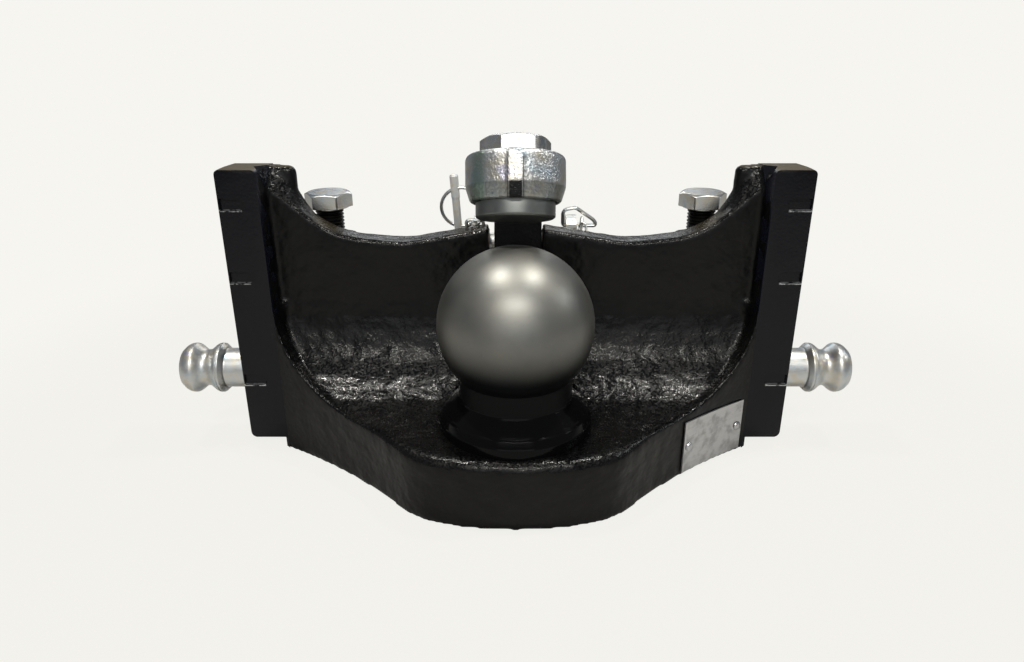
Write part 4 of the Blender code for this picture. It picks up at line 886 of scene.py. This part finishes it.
CLAMP_BOLT_ZINC = clamp_bolt_zinc()
for body, side in (("left_clamp_bolt", -1), ("right_clamp_bolt", 1)):
    place = Matrix.Translation(at(side * CLAMP_X, CLAMP_Y, 0))
    head = head_rings(CLAMP_ACROSS_FLATS, UNDER_CLAMP_HEAD, UNDER_CLAMP_HEAD + CLAMP_HEAD_HEIGHT)
    shank = thread_rings(CLAMP_RADIUS, CLAMP_BOTTOM, UNDER_CLAMP_HEAD - 0.001)
    bolt = swept_piece(f"threaded_{body}", [(head, place), (shank, place)])
    dress(bolt, CLAMP_BOLT_ZINC, body, "zinc_plate", "clamp_bolt_left" if side < 0 else "clamp_bolt_right")

# %% Hold-down bolt

UNDER_HOLD_HEAD = 0.0806
HEAD_TURN = math.radians(7)
head = head_rings(0.0315, UNDER_HOLD_HEAD, UNDER_HOLD_HEAD + 0.0125, turn=HEAD_TURN, washer=0.0001)
shank = rounded_profile([(0, 0.0556, 0), (0.0095, 0.0556, 0.0003), (0.0100, 0.0562, 0), (0.0100, UNDER_HOLD_HEAD, 0)])
hold_bolt = swept_piece("hexagon_hold_bolt", [(head, hold_down_place), (shank, hold_down_place)])
dress(hold_bolt, BOLT_ZINC, "hold_down", "zinc_plate", "hold_down_bolt")
print("hold-down bolt has its head at", UNDER_HOLD_HEAD, "over the ball's centre")

# %% [markdown]
# ## Floor and light
#
# The coupling stands on a plain pale floor that fades into the background. To the camera the floor is mostly the
# background's colour, and a small share of real shading keeps the shadow under the coupling. That share
# ends half a metre away, so that the floor meets the background without a line. Two small lamps hang high, as in a
# workshop, and a strip lamp hangs in front: the two bands of sparks in the hollow of the casting show where they
# are. A wide, dim panel behind the camera lights the front of the nose and the ball, and another one behind the
# coupling glances off the tops of rails and wall.

# %% Floor and world

BACKGROUND = (0.922, 0.913, 0.871)
SHADED_SHARE = 0.08


def pale_floor():
    finish = Finish("pale_floor", Roughness=1.0, Specular_IOR_Level=0.0)
    finish.drive(Base_Color=(0.48, 0.475, 0.46))
    rays = finish.tree.nodes.new("ShaderNodeLightPath")
    seen = Wire(finish, rays.outputs["Is Camera Ray"])
    away = finish.node("ShaderNodeVectorMath", {"operation": "LENGTH"}, {0: finish.place()}, output="Value")
    shaded = SHADED_SHARE * (1 - finish.between(away, 0.28, 0.50))
    glow = finish.node("ShaderNodeEmission", {}, {"Color": BACKGROUND, "Strength": 1.0})
    shading = Wire(finish, finish.shader.outputs[0])
    surface = finish.node("ShaderNodeMixShader", {}, {0: seen * (1 - shaded), 1: shading, 2: glow})
    finish.feed(finish.tree.nodes["Material Output"].inputs["Surface"], surface)
    return finish.material


def make_floor():
    mesh = bpy.data.meshes.new("floor")
    shape = bmesh.new()
    bmesh.ops.create_grid(shape, x_segments=1, y_segments=1, size=30)
    shape.to_mesh(mesh)
    shape.free()
    mesh.materials.append(pale_floor())
    show("floor", mesh)


def make_world():
    world = bpy.data.worlds.new("studio")
    world.use_nodes = True
    nodes, links = world.node_tree.nodes, world.node_tree.links
    fill = nodes["Background"]
    fill.inputs["Color"].default_value = (0.86, 0.89, 0.94, 1)
    fill.inputs["Strength"].default_value = 0.20
    seen = nodes.new("ShaderNodeBackground")
    seen.inputs["Color"].default_value = (*BACKGROUND, 1)
    rays = nodes.new("ShaderNodeLightPath")
    mixer = nodes.new("ShaderNodeMixShader")
    links.new(rays.outputs["Is Camera Ray"], mixer.inputs[0])
    links.new(fill.outputs[0], mixer.inputs[1])
    links.new(seen.outputs[0], mixer.inputs[2])
    links.new(mixer.outputs[0], nodes["World Output"].inputs["Surface"])
    bpy.context.scene.world = world


make_floor()
make_world()

# %% Lamps


def lamp(name, place, size, power, colour=(1, 1, 1)):
    data = bpy.data.lights.new(name, "AREA")
    data.shape = "RECTANGLE"
    data.size, data.size_y = size
    data.energy = power
    data.color = colour
    made = bpy.data.objects.new(name, data)
    made.location = place
    made.rotation_euler = (BALL_CENTRE - Vector(place)).to_track_quat("-Z", "Y").to_euler()
    made.visible_camera = False
    bpy.context.scene.collection.objects.link(made)
    print("lamp:", name, power, "W")


WARM = (1.0, 0.97, 0.90)
COOL = (0.97, 0.99, 1.0)
lamp("left overhead", (-0.32, 0.06, 1.15), (0.035, 0.035), 5.0, WARM)
lamp("right overhead", (0.36, 0.08, 1.12), (0.035, 0.035), 4.6, WARM)
lamp("front strip", (0.0, -0.66, 0.80), (0.60, 0.03), 3.8, WARM)
lamp("front panel", (0.0, -0.86, 0.42), (0.80, 0.40), 0.8, COOL)
lamp("back panel", (0.0, 1.00, 0.58), (0.70, 0.26), 1.4, COOL)
lamp("right side", (0.85, 0.02, 0.62), (0.10, 0.14), 0.8, COOL)

bpy.context.scene.view_settings.view_transform = "Standard"
